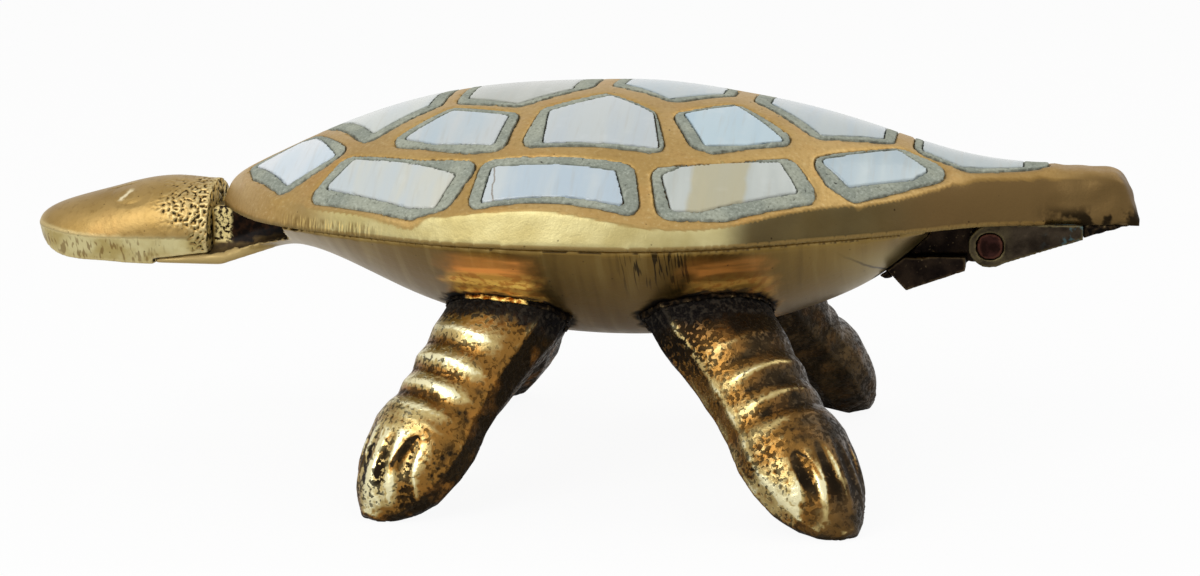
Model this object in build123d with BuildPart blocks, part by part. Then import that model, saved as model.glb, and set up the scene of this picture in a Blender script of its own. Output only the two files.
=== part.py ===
from build123d import *

import math
import os

os.makedirs("parts", exist_ok=True)

# A sand-cast brass turtle made as a box. The hollow belly is the bowl, and the shell is its lid.
# The shell turns on a pin under the tail, and pressing the tail down lifts it.
# The nose points along -X and the tail along +X. The feet stand on the plane Z = 0.

# Sizes of the whole, in millimetres
HEAD_REACH = 35.0
SHELL_LENGTH = 165.0
SHELL_WIDTH = 93.4
RIM_HEIGHT = 45.8
CROWN_RISE = 23.4
OVERRUN = 5.0

# Shell
SHELL_WALL = 2.8
RIM_LAND = 3.6
HOLLOW_LENGTH = 118.0
BAND_LEAN_DEGREES = 13.0
TAIL_ROUND = 5.0
TAIL_HEIGHT = 9.4

# Inlay: a plate of shell bedded in grey cement, ground flush with the brass
POCKET_DEPTH = 1.3
POCKET_CORNER = 2.4
PEARL_CORNER = 0.7

# Bowl
BOWL_WALL = 2.2
BOWL_DEPTH = 21.4
STERN_WALL = 4.0
RIM_GAP = 0.3
SPOUT_START = 15.0
SPOUT_LENGTH = 10.0
SPOUT_DROP = 6.9
TONGUE_REACH = 16.5
TONGUE_BEND = 4.0
TONGUE_ROOT = 6.0
TONGUE_WIDTH = 16.6
TONGUE_UNDERSIDE = 35.0
TONGUE_RISE = 3.4
TONGUE_TIP_THICKNESS = 0.9
TONGUE_THICKNESS = 2.6
NECK_WIDTH = 12.0

# Head
HEAD_WIDTH = 19.8
HEAD_HEIGHT = 15.3
HEAD_LENGTH = 34.0
CHIN_HEIGHT = 34.9

# Legs
LEG_CENTRE = 78.6
FRONT_LEFT_TOP_REACH = -23.5
FRONT_RIGHT_TOP_REACH = -24.0
REAR_TOP_REACH = 16.6
LEG_TOP_SPREAD = 28.0
LEG_TOP_HEIGHT = 31.0
FRONT_LEFT_FOOT_REACH = -40.1
FRONT_RIGHT_FOOT_REACH = -41.5
REAR_LEFT_FOOT_REACH = 39.4
REAR_RIGHT_FOOT_REACH = 35.6
FOOT_SPREAD = 50.4
LEG_WIDTH = 21.8
LEG_THICKNESS = 19.0
LEG_SUNK = 8.0
BRAZE_REACH = 0.7
BRAZE_HEIGHT = 1.3
TOE_GROOVE_LENGTH = 16.0
TOE_GROOVE_WIDTH = 3.0
TOE_GROOVE_DEPTH = 0.7
TOE_FAN_DEGREES = 9.0

# Hinge
PIN_DIAMETER = 4.76
PIN_SETBACK = 25.9
PIN_DROP = 4.1
PIN_FIT = 0.06
EAR_RADIUS = 3.8
FORK_WIDTH = 14.4
FORK_LENGTH = 15.9
FORK_HEEL = 2.6
FORK_BRAZE_LENGTH = 9.0
FORK_BRAZE_WIDTH = 10.4
WEB_WIDTH = 7.8
HINGE_GAP = 0.3
BRACKET_PLATE = 2.6
BRACKET_REACH = 14.3
BRACKET_DROP = 8.2
BRACKET_HEEL = 3.4
BRACKET_SLOPE_DEGREES = 20.0
BRACKET_BRAZE_RADIUS = 1.5

# Places worked out from the sizes
HALF_WIDTH = SHELL_WIDTH / 2
NOSE_X = -(HEAD_REACH + SHELL_LENGTH) / 2
SHELL_X = NOSE_X + HEAD_REACH
TAIL_X = SHELL_X + SHELL_LENGTH
BOWL_TOP = RIM_HEIGHT - RIM_GAP
PIN_X = TAIL_X - PIN_SETBACK
PIN_Z = RIM_HEIGHT - PIN_DROP

# Half outline of the shell's rim seen from above: shares of its length and of half its width
RIM_SHARES = [
    (0.000, 0.000), (0.015, 0.171), (0.033, 0.296), (0.075, 0.512), (0.127, 0.664), (0.200, 0.803),
    (0.299, 0.953), (0.400, 1.000), (0.503, 0.985), (0.576, 0.897), (0.655, 0.715), (0.730, 0.529),
    (0.806, 0.310), (0.855, 0.203), (0.903, 0.150), (1.000, 0.128),
]

# Curves across the dome: share along the shell, half width, height of the ends and of the top
CROWN_SHARES = [
    (-0.030, 0.26, -0.060, 0.064), (0.018, 0.35, 0.047, 0.243), (0.079, 0.59, 0.056, 0.449),
    (0.176, 0.83, 0.005, 0.731), (0.321, 1.04, 0.060, 0.945), (0.476, 1.05, 0.066, 0.987),
    (0.630, 0.84, 0.038, 0.838), (0.739, 0.56, 0.077, 0.632), (0.830, 0.31, 0.165, 0.463),
    (0.927, 0.20, 0.215, 0.425), (1.024, 0.19, 0.261, 0.389),
]

# Arcs across the belly: share along the shell, half width at the rim and depth of the keel
HULL_SHARES = [
    (0.030, 0.355, 0.416), (0.061, 0.410, 0.369), (0.091, 0.535, 0.322), (0.127, 0.638, 0.350),
    (0.164, 0.720, 0.458), (0.224, 0.820, 0.678), (0.309, 0.934, 0.883), (0.418, 0.974, 0.995),
    (0.527, 0.940, 0.967), (0.600, 0.822, 0.874), (0.661, 0.670, 0.724), (0.709, 0.557, 0.556),
    (0.745, 0.445, 0.369), (0.779, 0.343, 0.117),
]

# Cross-sections of the head: share along it from the nose, then shares of its height for the chin,
# the jaw's ridge and the crown, and shares of half its width at the chin and at the ridge
HEAD_SHARES = [
    (0.000, 0.33, 0.42, 0.50, 0.16, 0.26), (0.050, 0.17, 0.40, 0.59, 0.38, 0.52),
    (0.140, 0.06, 0.37, 0.68, 0.56, 0.72), (0.290, 0.02, 0.33, 0.78, 0.71, 0.88),
    (0.470, 0.01, 0.32, 0.89, 0.80, 0.97), (0.680, 0.00, 0.32, 0.99, 0.84, 1.00),
    (0.880, 0.01, 0.33, 0.99, 0.84, 0.95), (1.000, 0.02, 0.34, 0.98, 0.84, 0.91),
]

# Cross-sections of a leg from its top to its tip: share of its length, share of half its width,
# and shares of its thickness for the rounded outer face and the flat inner face
LEG_SHARES = [
    (0.00, 1.000, 0.310, 0.580), (0.09, 0.945, 0.340, 0.540), (0.16, 0.910, 0.365, 0.515),
    (0.23, 0.880, 0.325, 0.490), (0.30, 0.880, 0.365, 0.465), (0.36, 0.860, 0.305, 0.440),
    (0.42, 0.880, 0.345, 0.425), (0.475, 0.880, 0.310, 0.420), (0.53, 0.925, 0.365, 0.420),
    (0.60, 0.965, 0.385, 0.420), (0.70, 0.930, 0.405, 0.410), (0.80, 0.820, 0.385, 0.380),
    (0.88, 0.670, 0.300, 0.285), (0.95, 0.440, 0.200, 0.170), (1.00, 0.180, 0.110, 0.085),
]

# Toe grooves on the foot: share along the leg, share of half its width, and lean in degrees
TOE_SHARES = [(0.79, -0.60), (0.82, -0.21), (0.82, 0.21), (0.79, 0.60)]
FOOT_CROWN_SHARE = 0.38
FOOT_WIDTH_SHARE = 0.80

# Inlays down the middle of the back: half outlines of the pocket and of the plate in it, as shares
# of the shell's length and of half its width. They are mirrored to the other side.
BACK_SHARES = [
    ([(0.115, 0.00), (0.188, 0.43), (0.261, 0.24)], [(0.133, 0.00), (0.194, 0.36), (0.245, 0.21)]),
    ([(0.276, 0.25), (0.352, 0.36), (0.421, 0.14)], [(0.288, 0.21), (0.348, 0.33), (0.399, 0.17)]),
    ([(0.439, 0.12), (0.512, 0.29), (0.570, 0.08)], [(0.452, 0.09), (0.506, 0.26), (0.558, 0.09)]),
    ([(0.591, 0.11), (0.661, 0.33), (0.742, 0.15)], [(0.609, 0.10), (0.667, 0.29), (0.730, 0.14)]),
    ([(0.761, 0.15), (0.818, 0.17), (0.903, 0.05)], [(0.770, 0.12), (0.812, 0.15), (0.876, 0.07)]),
]

# Inlays of one flank, between the back and the rim row
FLANK_SHARES = [
    (
        [(0.212, 0.48), (0.275, 0.29), (0.356, 0.42), (0.350, 0.67), (0.309, 0.65)],
        [(0.233, 0.47), (0.277, 0.32), (0.344, 0.43), (0.338, 0.63), (0.273, 0.56)],
    ),
    (
        [(0.365, 0.66), (0.376, 0.39), (0.438, 0.23), (0.497, 0.39), (0.518, 0.64)],
        [(0.389, 0.64), (0.385, 0.41), (0.444, 0.26), (0.495, 0.40), (0.509, 0.62)],
    ),
    (
        [(0.513, 0.39), (0.576, 0.19), (0.648, 0.39), (0.561, 0.58), (0.539, 0.57)],
        [(0.525, 0.37), (0.576, 0.21), (0.632, 0.40), (0.594, 0.49), (0.553, 0.55)],
    ),
]

# Inlays along one side of the rim, from the head to the tail
RIM_ROW_SHARES = [
    (
        [(0.036, 0.11), (0.055, 0.30), (0.106, 0.55), (0.173, 0.43), (0.106, 0.06)],
        [(0.048, 0.16), (0.109, 0.50), (0.158, 0.43), (0.118, 0.16), (0.097, 0.09)],
    ),
    (
        [(0.139, 0.64), (0.170, 0.46), (0.261, 0.63), (0.330, 0.71), (0.306, 0.90), (0.267, 0.89)],
        [(0.158, 0.61), (0.182, 0.50), (0.261, 0.65), (0.306, 0.75), (0.291, 0.88), (0.261, 0.84)],
    ),
    (
        [(0.330, 0.71), (0.324, 0.93), (0.503, 0.93), (0.488, 0.72)],
        [(0.342, 0.75), (0.339, 0.91), (0.485, 0.90), (0.470, 0.76)],
    ),
    (
        [(0.503, 0.72), (0.576, 0.61), (0.642, 0.48), (0.676, 0.61), (0.582, 0.84), (0.518, 0.92)],
        [(0.515, 0.74), (0.533, 0.68), (0.630, 0.52), (0.652, 0.62), (0.558, 0.84), (0.530, 0.87)],
    ),
    (
        [(0.658, 0.45), (0.748, 0.17), (0.815, 0.19), (0.706, 0.55), (0.679, 0.54)],
        [(0.668, 0.44), (0.745, 0.19), (0.779, 0.24), (0.764, 0.32), (0.700, 0.50)],
    ),
]


def shell_point(along, out):
    """A place in plan from its share along the shell and its share of half the width."""
    return (SHELL_X + along * SHELL_LENGTH, out * HALF_WIDTH)


def save(piece, name):
    """Labels a finished piece and writes its file."""
    piece.label = name
    export_step(piece, f"parts/{name}.step")


def rim_plan(height, inset):
    """The shell's outline at a height, drawn in at the sides and the ends by an inset."""
    span = SHELL_LENGTH - 2 * inset
    points = [
        (SHELL_X + inset + along * span, out * (HALF_WIDTH - inset)) for along, out in RIM_SHARES
    ]
    with BuildSketch(Plane.XY.offset(height)) as plan:
        with BuildLine():
            Spline(*points, tangents=[(0, 1), (1, 0)])
            Line(points[-1], (points[-1][0], 0))
            mirror(about=Plane.XZ)
        make_face()
    return plan.sketch


def crown(drop):
    """The domed block under the shell's outer surface, lowered by a drop."""
    foot = RIM_HEIGHT - BOWL_DEPTH / 2
    with BuildPart() as dome:
        for along, wide, edge, top in CROWN_SHARES:
            half = wide * HALF_WIDTH
            edge_z = RIM_HEIGHT + edge * CROWN_RISE - drop
            top_z = RIM_HEIGHT + top * CROWN_RISE - drop
            with BuildSketch(Plane.YZ.offset(shell_point(along, 0)[0])):
                with BuildLine():
                    Bezier((-half, edge_z), (0, 2 * top_z - edge_z), (half, edge_z))
                    Polyline((half, edge_z), (half, foot), (-half, foot), (-half, edge_z))
                make_face()
        loft()
    return dome.part


def hull(wall):
    """The belly as a solid block, made smaller all round by a wall."""
    with BuildPart() as belly:
        for along, wide, deep in HULL_SHARES:
            half = wide * HALF_WIDTH - wall
            keel = BOWL_TOP - deep * BOWL_DEPTH + wall
            with BuildSketch(Plane.YZ.offset(shell_point(along, 0)[0])):
                with BuildLine():
                    ThreePointArc((-half, BOWL_TOP), (0, keel), (half, BOWL_TOP))
                    Line((half, BOWL_TOP), (-half, BOWL_TOP))
                make_face()
        loft()
    return belly.part


def prism(points, corner, hole=None):
    """An upright block on an outline with rounded corners, given as shares of the shell."""
    with BuildPart() as block:
        with BuildSketch(Plane.XY.offset(RIM_HEIGHT)) as outline:
            with BuildLine():
                Polyline(*[shell_point(*share) for share in points], close=True)
            make_face()
            fillet(outline.vertices(), radius=corner)
        extrude(amount=CROWN_RISE + OVERRUN)
        if hole:
            add(hole, mode=Mode.SUBTRACT)
    return block.part


def in_skin(block):
    """What a block cuts out of the dome's skin."""
    with BuildPart() as cut:
        add(block)
        add(skin.part, mode=Mode.INTERSECT)
    return cut.part


def both_sides(points):
    """A whole outline across the back, from its half on one side."""
    return points + [(along, -out) for along, out in reversed(points) if out > 0]


def other_side(piece):
    """The same piece on the turtle's other side."""
    with BuildPart() as twin:
        add(piece)
        mirror(about=Plane.XZ, mode=Mode.REPLACE)
    return twin.part


# The dome, the floor of its pockets and the skin between them
dome = crown(0)
floor = crown(POCKET_DEPTH)
with BuildPart() as skin:
    add(dome)
    add(floor, mode=Mode.SUBTRACT)

# Inlays: each plate of pearl is a block cut out of the skin, and its cement is the ring round it.
# The pockets that hold them are cut out of the shell further down.
pocket_blocks = []
tables = [("back", BACK_SHARES), ("flank", FLANK_SHARES), ("rim", RIM_ROW_SHARES)]
for row, table in tables:
    for number, (pocket, plate) in enumerate(table, start=1):
        if row == "back":
            pocket, plate = both_sides(pocket), both_sides(plate)
        pocket_block = prism(pocket, POCKET_CORNER)
        plate_block = prism(plate, PEARL_CORNER)
        ring_block = prism(pocket, POCKET_CORNER, hole=plate_block)
        pearl = in_skin(plate_block)
        cement = in_skin(ring_block)
        pocket_blocks.append(pocket_block)
        if row == "back":
            save(pearl, f"pearl_{row}_{number}")
            save(cement, f"cement_{row}_{number}")
        else:
            pocket_blocks.append(other_side(pocket_block))
            save(pearl, f"pearl_right_{row}_{number}")
            save(cement, f"cement_right_{row}_{number}")
            save(other_side(pearl), f"pearl_left_{row}_{number}")
            save(other_side(cement), f"cement_left_{row}_{number}")

# Shell: the dome within the rim's outline, with a leaning band round its edge and the pockets cut
# in from above. It is hollow from below, and the tail is solid.
lean = math.tan(math.radians(BAND_LEAN_DEGREES))
tail_top_z = RIM_HEIGHT + TAIL_HEIGHT
with BuildPart() as pockets:
    for block in pocket_blocks:
        add(block)
    add(floor, mode=Mode.SUBTRACT)
with BuildPart() as hollow:
    add(rim_plan(RIM_HEIGHT, RIM_LAND))
    extrude(amount=CROWN_RISE)
    add(crown(SHELL_WALL), mode=Mode.INTERSECT)
    split(bisect_by=Plane.YZ.offset(SHELL_X + RIM_LAND + HOLLOW_LENGTH), keep=Keep.BOTTOM)
with BuildPart() as shell:
    add(rim_plan(RIM_HEIGHT, 0))
    add(rim_plan(RIM_HEIGHT + CROWN_RISE + OVERRUN, (CROWN_RISE + OVERRUN) * lean))
    loft()
    add(dome, mode=Mode.INTERSECT)
    with BuildSketch(Plane.XZ):
        with BuildLine():
            TangentArc((TAIL_X - TAIL_ROUND, tail_top_z), (TAIL_X, tail_top_z - TAIL_ROUND), tangent=(1, 0))
            Polyline(
                (TAIL_X, tail_top_z - TAIL_ROUND),
                (TAIL_X + OVERRUN, tail_top_z - TAIL_ROUND),
                (TAIL_X + OVERRUN, tail_top_z + OVERRUN),
                (TAIL_X - TAIL_ROUND, tail_top_z + OVERRUN),
                (TAIL_X - TAIL_ROUND, tail_top_z),
            )
        make_face()
    extrude(amount=HALF_WIDTH, both=True, mode=Mode.SUBTRACT)
    add(pockets.part, mode=Mode.SUBTRACT)
    add(hollow.part, mode=Mode.SUBTRACT)
save(shell.part, "shell")

# Bowl: the hollow belly. At the front its edge slopes down to a spout, and a tongue runs on from
# the spout to carry the head. The neck is a bar that stands on the tongue behind the head.
spout_x = SHELL_X + SPOUT_START
neck_x = spout_x - SPOUT_LENGTH
neck_z = BOWL_TOP - SPOUT_DROP
tongue_tip_x = neck_x - TONGUE_REACH
tongue_bend_x = neck_x - TONGUE_BEND
tongue_root_x = neck_x + TONGUE_ROOT
tongue_tip_z = TONGUE_UNDERSIDE + TONGUE_TIP_THICKNESS
tongue_bend_z = TONGUE_UNDERSIDE + TONGUE_THICKNESS
tongue_root_z = TONGUE_UNDERSIDE + TONGUE_RISE
head_rear_x = NOSE_X + HEAD_LENGTH
neck_root_z = tongue_root_z + TONGUE_THICKNESS / 2
belly = hull(0)
stern_x = shell_point(HULL_SHARES[-1][0], 0)[0]
with BuildPart() as inside:
    add(hull(BOWL_WALL))
    split(bisect_by=Plane.YZ.offset(stern_x - STERN_WALL), keep=Keep.BOTTOM)
with BuildPart() as bowl:
    add(belly)
    with BuildSketch(Plane.XZ):
        with BuildLine():
            Polyline(
                (tongue_tip_x, TONGUE_UNDERSIDE),
                (tongue_bend_x, TONGUE_UNDERSIDE),
                (tongue_root_x, tongue_root_z),
                (tongue_root_x, tongue_root_z + TONGUE_THICKNESS),
                (tongue_bend_x, tongue_bend_z),
                (tongue_tip_x, tongue_tip_z),
                close=True,
            )
        make_face()
    extrude(amount=TONGUE_WIDTH / 2, both=True)
    with BuildSketch(Plane.XZ):
        with BuildLine():
            Polyline(
                (spout_x, BOWL_TOP),
                (neck_x, neck_z),
                (tongue_tip_x, neck_z),
                (tongue_tip_x, BOWL_TOP + OVERRUN),
                (spout_x, BOWL_TOP + OVERRUN),
                close=True,
            )
        make_face()
    extrude(amount=HALF_WIDTH, both=True, mode=Mode.SUBTRACT)
    add(inside, mode=Mode.SUBTRACT)
    with BuildSketch(Plane.XZ):
        with BuildLine():
            Polyline(
                (head_rear_x, tongue_bend_z - TONGUE_THICKNESS / 2),
                (tongue_root_x, neck_root_z),
                (spout_x, neck_root_z),
                (spout_x, BOWL_TOP),
                (head_rear_x, BOWL_TOP),
                close=True,
            )
        make_face()
    extrude(amount=NECK_WIDTH / 2, both=True)
save(bowl.part, "bowl")

# Head: a casting of its own, flat at the back, cut underneath to sit on the tongue
with BuildPart() as head:
    for along, chin, ridge, top, chin_wide, ridge_wide in HEAD_SHARES:
        chin_z = CHIN_HEIGHT + chin * HEAD_HEIGHT
        ridge_z = CHIN_HEIGHT + ridge * HEAD_HEIGHT
        top_z = CHIN_HEIGHT + top * HEAD_HEIGHT
        chin_y = chin_wide * HEAD_WIDTH / 2
        ridge_y = ridge_wide * HEAD_WIDTH / 2
        with BuildSketch(Plane.YZ.offset(NOSE_X + along * HEAD_LENGTH)):
            with BuildLine():
                Polyline((-ridge_y, ridge_z), (-chin_y, chin_z), (chin_y, chin_z), (ridge_y, ridge_z))
                ThreePointArc((ridge_y, ridge_z), (0, top_z), (-ridge_y, ridge_z))
            make_face()
    loft()
    with BuildSketch(Plane.XZ):
        with BuildLine():
            Polyline(
                (tongue_tip_x, tongue_tip_z),
                (tongue_bend_x, tongue_bend_z),
                (tongue_root_x, tongue_root_z + TONGUE_THICKNESS),
                (tongue_root_x, TONGUE_UNDERSIDE - OVERRUN),
                (tongue_tip_x, TONGUE_UNDERSIDE - OVERRUN),
                close=True,
            )
        make_face()
    extrude(amount=HEAD_WIDTH, both=True, mode=Mode.SUBTRACT)
save(head.part, "head")


def leg_plane(top_reach, foot_reach, along):
    """The plane across a leg at a share of its length, with its Y towards the outer face."""
    top = Vector(leg_centre_x + top_reach, LEG_TOP_SPREAD, LEG_TOP_HEIGHT)
    down = Vector(leg_centre_x + foot_reach, FOOT_SPREAD, 0) - top
    return Plane(origin=top + down * along, x_dir=(-down.Y, down.X, 0), z_dir=down)


def leg_section(reaches, shares, extra):
    """The outline across a leg, thicker all round by an extra: flat inside, round outside."""
    along, wide, outer, inner = shares
    half = wide * LEG_WIDTH / 2 + extra
    out = outer * LEG_THICKNESS + extra
    back = -inner * LEG_THICKNESS - extra
    with BuildSketch(leg_plane(*reaches, along)) as section:
        with BuildLine():
            ThreePointArc((half, 0), (0, out), (-half, 0))
            Polyline((-half, 0), (-half, back / 2), (-half / 2, back))
            Polyline((-half / 2, back), (half / 2, back), (half, back / 2), (half, 0))
        make_face()
    return section.sketch


def leg_blank(reaches, extra):
    """A whole leg, longer at its top than the finished one."""
    with BuildPart() as blank:
        for shares in LEG_SHARES:
            add(leg_section(reaches, shares, extra))
        loft(ruled=True)
        add(leg_section(reaches, LEG_SHARES[0], extra))
        extrude(amount=LEG_SUNK, dir=-leg_plane(*reaches, 0).z_dir)
    return blank.part


def toe_groove(reaches, along, out):
    """A spindle laid on the foot's outer face, to be cut away."""
    across = leg_plane(*reaches, along)
    lift = FOOT_CROWN_SHARE * LEG_THICKNESS * (1 - out * out) - TOE_GROOVE_DEPTH + TOE_GROOVE_WIDTH / 2
    centre = across.from_local_coords((out * FOOT_WIDTH_SHARE * LEG_WIDTH / 2, lift, 0))
    half = TOE_GROOVE_LENGTH / 2
    turned = across.rotated((0, -out * TOE_FAN_DEGREES, 0))
    with BuildPart() as groove:
        with BuildSketch(Plane(origin=centre, x_dir=turned.z_dir, z_dir=turned.x_dir)):
            with BuildLine():
                ThreePointArc((-half, 0), (0, TOE_GROOVE_WIDTH / 2), (half, 0))
                Line((half, 0), (-half, 0))
            make_face()
        revolve(axis=Axis(centre, turned.z_dir))
    return groove.part


# Legs: castings brazed to the belly by hand, so the rear pair is not quite alike. Each has wrinkle
# rings, a paddle foot and grooves between the toes; a collar of braze follows the belly at its top.
leg_centre_x = SHELL_X + LEG_CENTRE
with BuildPart() as belly_skin:
    add(hull(-BRAZE_HEIGHT))
    add(belly, mode=Mode.SUBTRACT)
leg_places = [
    ("leg_front_left", FRONT_LEFT_TOP_REACH, FRONT_LEFT_FOOT_REACH),
    ("leg_front_right", FRONT_RIGHT_TOP_REACH, FRONT_RIGHT_FOOT_REACH),
    ("leg_rear_left", REAR_TOP_REACH, REAR_LEFT_FOOT_REACH),
    ("leg_rear_right", REAR_TOP_REACH, REAR_RIGHT_FOOT_REACH),
]
for name, *reaches in leg_places:
    with BuildPart() as leg:
        add(leg_blank(reaches, 0))
        add(belly, mode=Mode.SUBTRACT)
        split(bisect_by=Plane.XY, keep=Keep.TOP)
        for along, out in TOE_SHARES:
            add(toe_groove(reaches, along, out), mode=Mode.SUBTRACT)
    with BuildPart() as collar:
        add(belly_skin)
        add(leg_blank(reaches, BRAZE_REACH), mode=Mode.INTERSECT)
        add(leg.part, mode=Mode.SUBTRACT)
    leg_piece, collar_piece = leg.part, collar.part
    if name.endswith("left"):
        leg_piece, collar_piece = other_side(leg_piece), other_side(collar_piece)
    save(leg_piece, name)
    save(collar_piece, f"{name}_braze")

# Hinge bracket: a sloping plate brazed under the bowl's stern, with a web that takes the pin
plate_end_x = PIN_X - EAR_RADIUS - HINGE_GAP
plate_x = PIN_X - BRACKET_REACH
plate_z = PIN_Z - BRACKET_DROP
plate_end_z = plate_z + (plate_end_x - plate_x) * math.tan(math.radians(BRACKET_SLOPE_DEGREES))
heel_x = plate_x - BRACKET_HEEL
heel_z = plate_z + BRACKET_HEEL
with BuildPart() as bracket:
    with BuildSketch(Plane.XZ):
        with BuildLine():
            Polyline(
                (plate_x, plate_z),
                (plate_end_x, plate_end_z),
                (plate_end_x, plate_end_z + BRACKET_PLATE),
                (plate_x, plate_z + BRACKET_PLATE + BRACKET_HEEL),
                (heel_x, heel_z + BRACKET_PLATE),
                (heel_x, heel_z),
                close=True,
            )
        make_face()
    extrude(amount=FORK_WIDTH / 2, both=True)
    with BuildSketch(Plane.XZ):
        with BuildLine():
            Polyline(
                (plate_x, plate_z + BRACKET_PLATE / 2),
                (plate_end_x, plate_end_z + BRACKET_PLATE / 2),
                (PIN_X, PIN_Z - EAR_RADIUS),
                (PIN_X, PIN_Z + EAR_RADIUS),
                (plate_x, PIN_Z + EAR_RADIUS),
                close=True,
            )
        make_face()
        with Locations((PIN_X, PIN_Z)):
            Circle(EAR_RADIUS)
    extrude(amount=WEB_WIDTH / 2, both=True)
    add(belly, mode=Mode.SUBTRACT)
    with BuildSketch(Plane.XZ):
        with Locations((PIN_X, PIN_Z)):
            Circle(PIN_DIAMETER / 2 + PIN_FIT)
    extrude(amount=FORK_WIDTH, both=True, mode=Mode.SUBTRACT)
save(bracket.part, "hinge_bracket")

with BuildPart() as bracket_braze:
    with BuildSketch(Plane.XZ):
        with Locations((heel_x, heel_z)):
            Circle(BRACKET_BRAZE_RADIUS)
    extrude(amount=FORK_WIDTH / 2, both=True)
    add(belly, mode=Mode.SUBTRACT)
    add(bracket.part, mode=Mode.SUBTRACT)
save(bracket_braze.part, "bracket_braze")

# Hinge fork: a lug brazed under the tail, slotted so that its two ears stand beside the web
fork_end_x = PIN_X + FORK_LENGTH
heel_height = RIM_HEIGHT - FORK_HEEL
slot_end_x = PIN_X + EAR_RADIUS + HINGE_GAP
with BuildPart() as fork:
    with BuildSketch(Plane.XZ):
        with Locations((PIN_X, PIN_Z)):
            Circle(EAR_RADIUS)
        with BuildLine():
            Polyline(
                (PIN_X, PIN_Z - EAR_RADIUS),
                (fork_end_x, heel_height),
                (fork_end_x, RIM_HEIGHT),
                (PIN_X, RIM_HEIGHT),
                close=True,
            )
        make_face()
    extrude(amount=FORK_WIDTH / 2, both=True)
    with BuildSketch(Plane.XZ):
        with BuildLine():
            Polyline(
                (PIN_X - EAR_RADIUS - OVERRUN, PIN_Z - EAR_RADIUS - OVERRUN),
                (slot_end_x, PIN_Z - EAR_RADIUS - OVERRUN),
                (slot_end_x, RIM_HEIGHT + OVERRUN),
                (PIN_X - EAR_RADIUS - OVERRUN, RIM_HEIGHT + OVERRUN),
                close=True,
            )
        make_face()
    extrude(amount=WEB_WIDTH / 2 + HINGE_GAP, both=True, mode=Mode.SUBTRACT)
    with BuildSketch(Plane.XZ):
        with Locations((PIN_X, PIN_Z)):
            Circle(PIN_DIAMETER / 2)
    extrude(amount=FORK_WIDTH, both=True, mode=Mode.SUBTRACT)
save(fork.part, "hinge_fork")

with BuildPart() as fork_braze:
    with BuildSketch(Plane.XZ):
        with BuildLine():
            Polyline(
                (fork_end_x, heel_height),
                (fork_end_x + FORK_BRAZE_LENGTH, RIM_HEIGHT),
                (fork_end_x, RIM_HEIGHT),
                close=True,
            )
        make_face()
    extrude(amount=FORK_BRAZE_WIDTH / 2, both=True)
save(fork_braze.part, "fork_braze")

# Hinge pin: a plain rod through both ears and the web
with BuildPart() as pin:
    with BuildSketch(Plane.XZ):
        with Locations((PIN_X, PIN_Z)):
            Circle(PIN_DIAMETER / 2)
    extrude(amount=FORK_WIDTH / 2, both=True)
save(pin.part, "hinge_pin")
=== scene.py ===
import math

import bpy
import numpy as np
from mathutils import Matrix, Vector, noise
from mathutils.bvhtree import BVHTree


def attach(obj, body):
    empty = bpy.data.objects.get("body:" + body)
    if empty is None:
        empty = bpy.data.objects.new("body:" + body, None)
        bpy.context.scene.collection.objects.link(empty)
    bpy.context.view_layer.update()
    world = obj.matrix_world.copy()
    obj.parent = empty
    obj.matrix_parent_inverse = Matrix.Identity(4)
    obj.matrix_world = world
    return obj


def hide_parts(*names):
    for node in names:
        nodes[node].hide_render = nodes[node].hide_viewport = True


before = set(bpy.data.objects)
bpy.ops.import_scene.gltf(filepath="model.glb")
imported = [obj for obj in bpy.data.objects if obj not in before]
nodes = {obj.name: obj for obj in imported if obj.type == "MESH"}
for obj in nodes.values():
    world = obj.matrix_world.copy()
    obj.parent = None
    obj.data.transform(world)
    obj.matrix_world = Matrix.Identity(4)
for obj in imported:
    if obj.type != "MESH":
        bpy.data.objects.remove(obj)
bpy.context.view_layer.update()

scene = bpy.context.scene
scene.view_settings.view_transform = "Standard"

# The place the turtle is looked at from: level with its side, a little above it and a little
# towards its tail, through a long lens. Angles are from straight abeam.
VIEW_AZIMUTH = math.radians(8.72)
VIEW_ELEVATION = math.radians(10.19)
VIEW_DISTANCE = 0.5
LOOK_AT = Vector((0.00446, 0, 0.03123))
LENS = 83.0

lens = bpy.data.cameras.new("lens")
lens.lens = LENS
camera = bpy.data.objects.new("camera", lens)
scene.collection.objects.link(camera)
sight = Vector((
    math.sin(VIEW_AZIMUTH) * math.cos(VIEW_ELEVATION),
    -math.cos(VIEW_AZIMUTH) * math.cos(VIEW_ELEVATION),
    math.sin(VIEW_ELEVATION),
))
camera.location = LOOK_AT + sight * VIEW_DISTANCE
camera.rotation_euler = (-sight).to_track_quat("-Z", "Y").to_euler()
scene.camera = camera

# The studio: a white room with a pale table top, a broad soft lamp over the turtle's near side
# and a weaker one over its tail. What the camera and the polished metal see of the room is white.
WHITE = (1, 1, 1, 1)
ROOM_LIGHT = 0.62
FLOOR_SIZE = 6.0
FLOOR_COLOUR = (0.9, 0.9, 0.89, 1)
FLOOR_GLOW = 0.93
# Each lamp's name, place, width and power.
LAMPS = [
    ("near_lamp", (-0.4, -0.75, 0.62), 0.7, 4.2),
    ("tail_lamp", (0.6, 0.25, 0.7), 0.6, 1.0),
]

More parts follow.
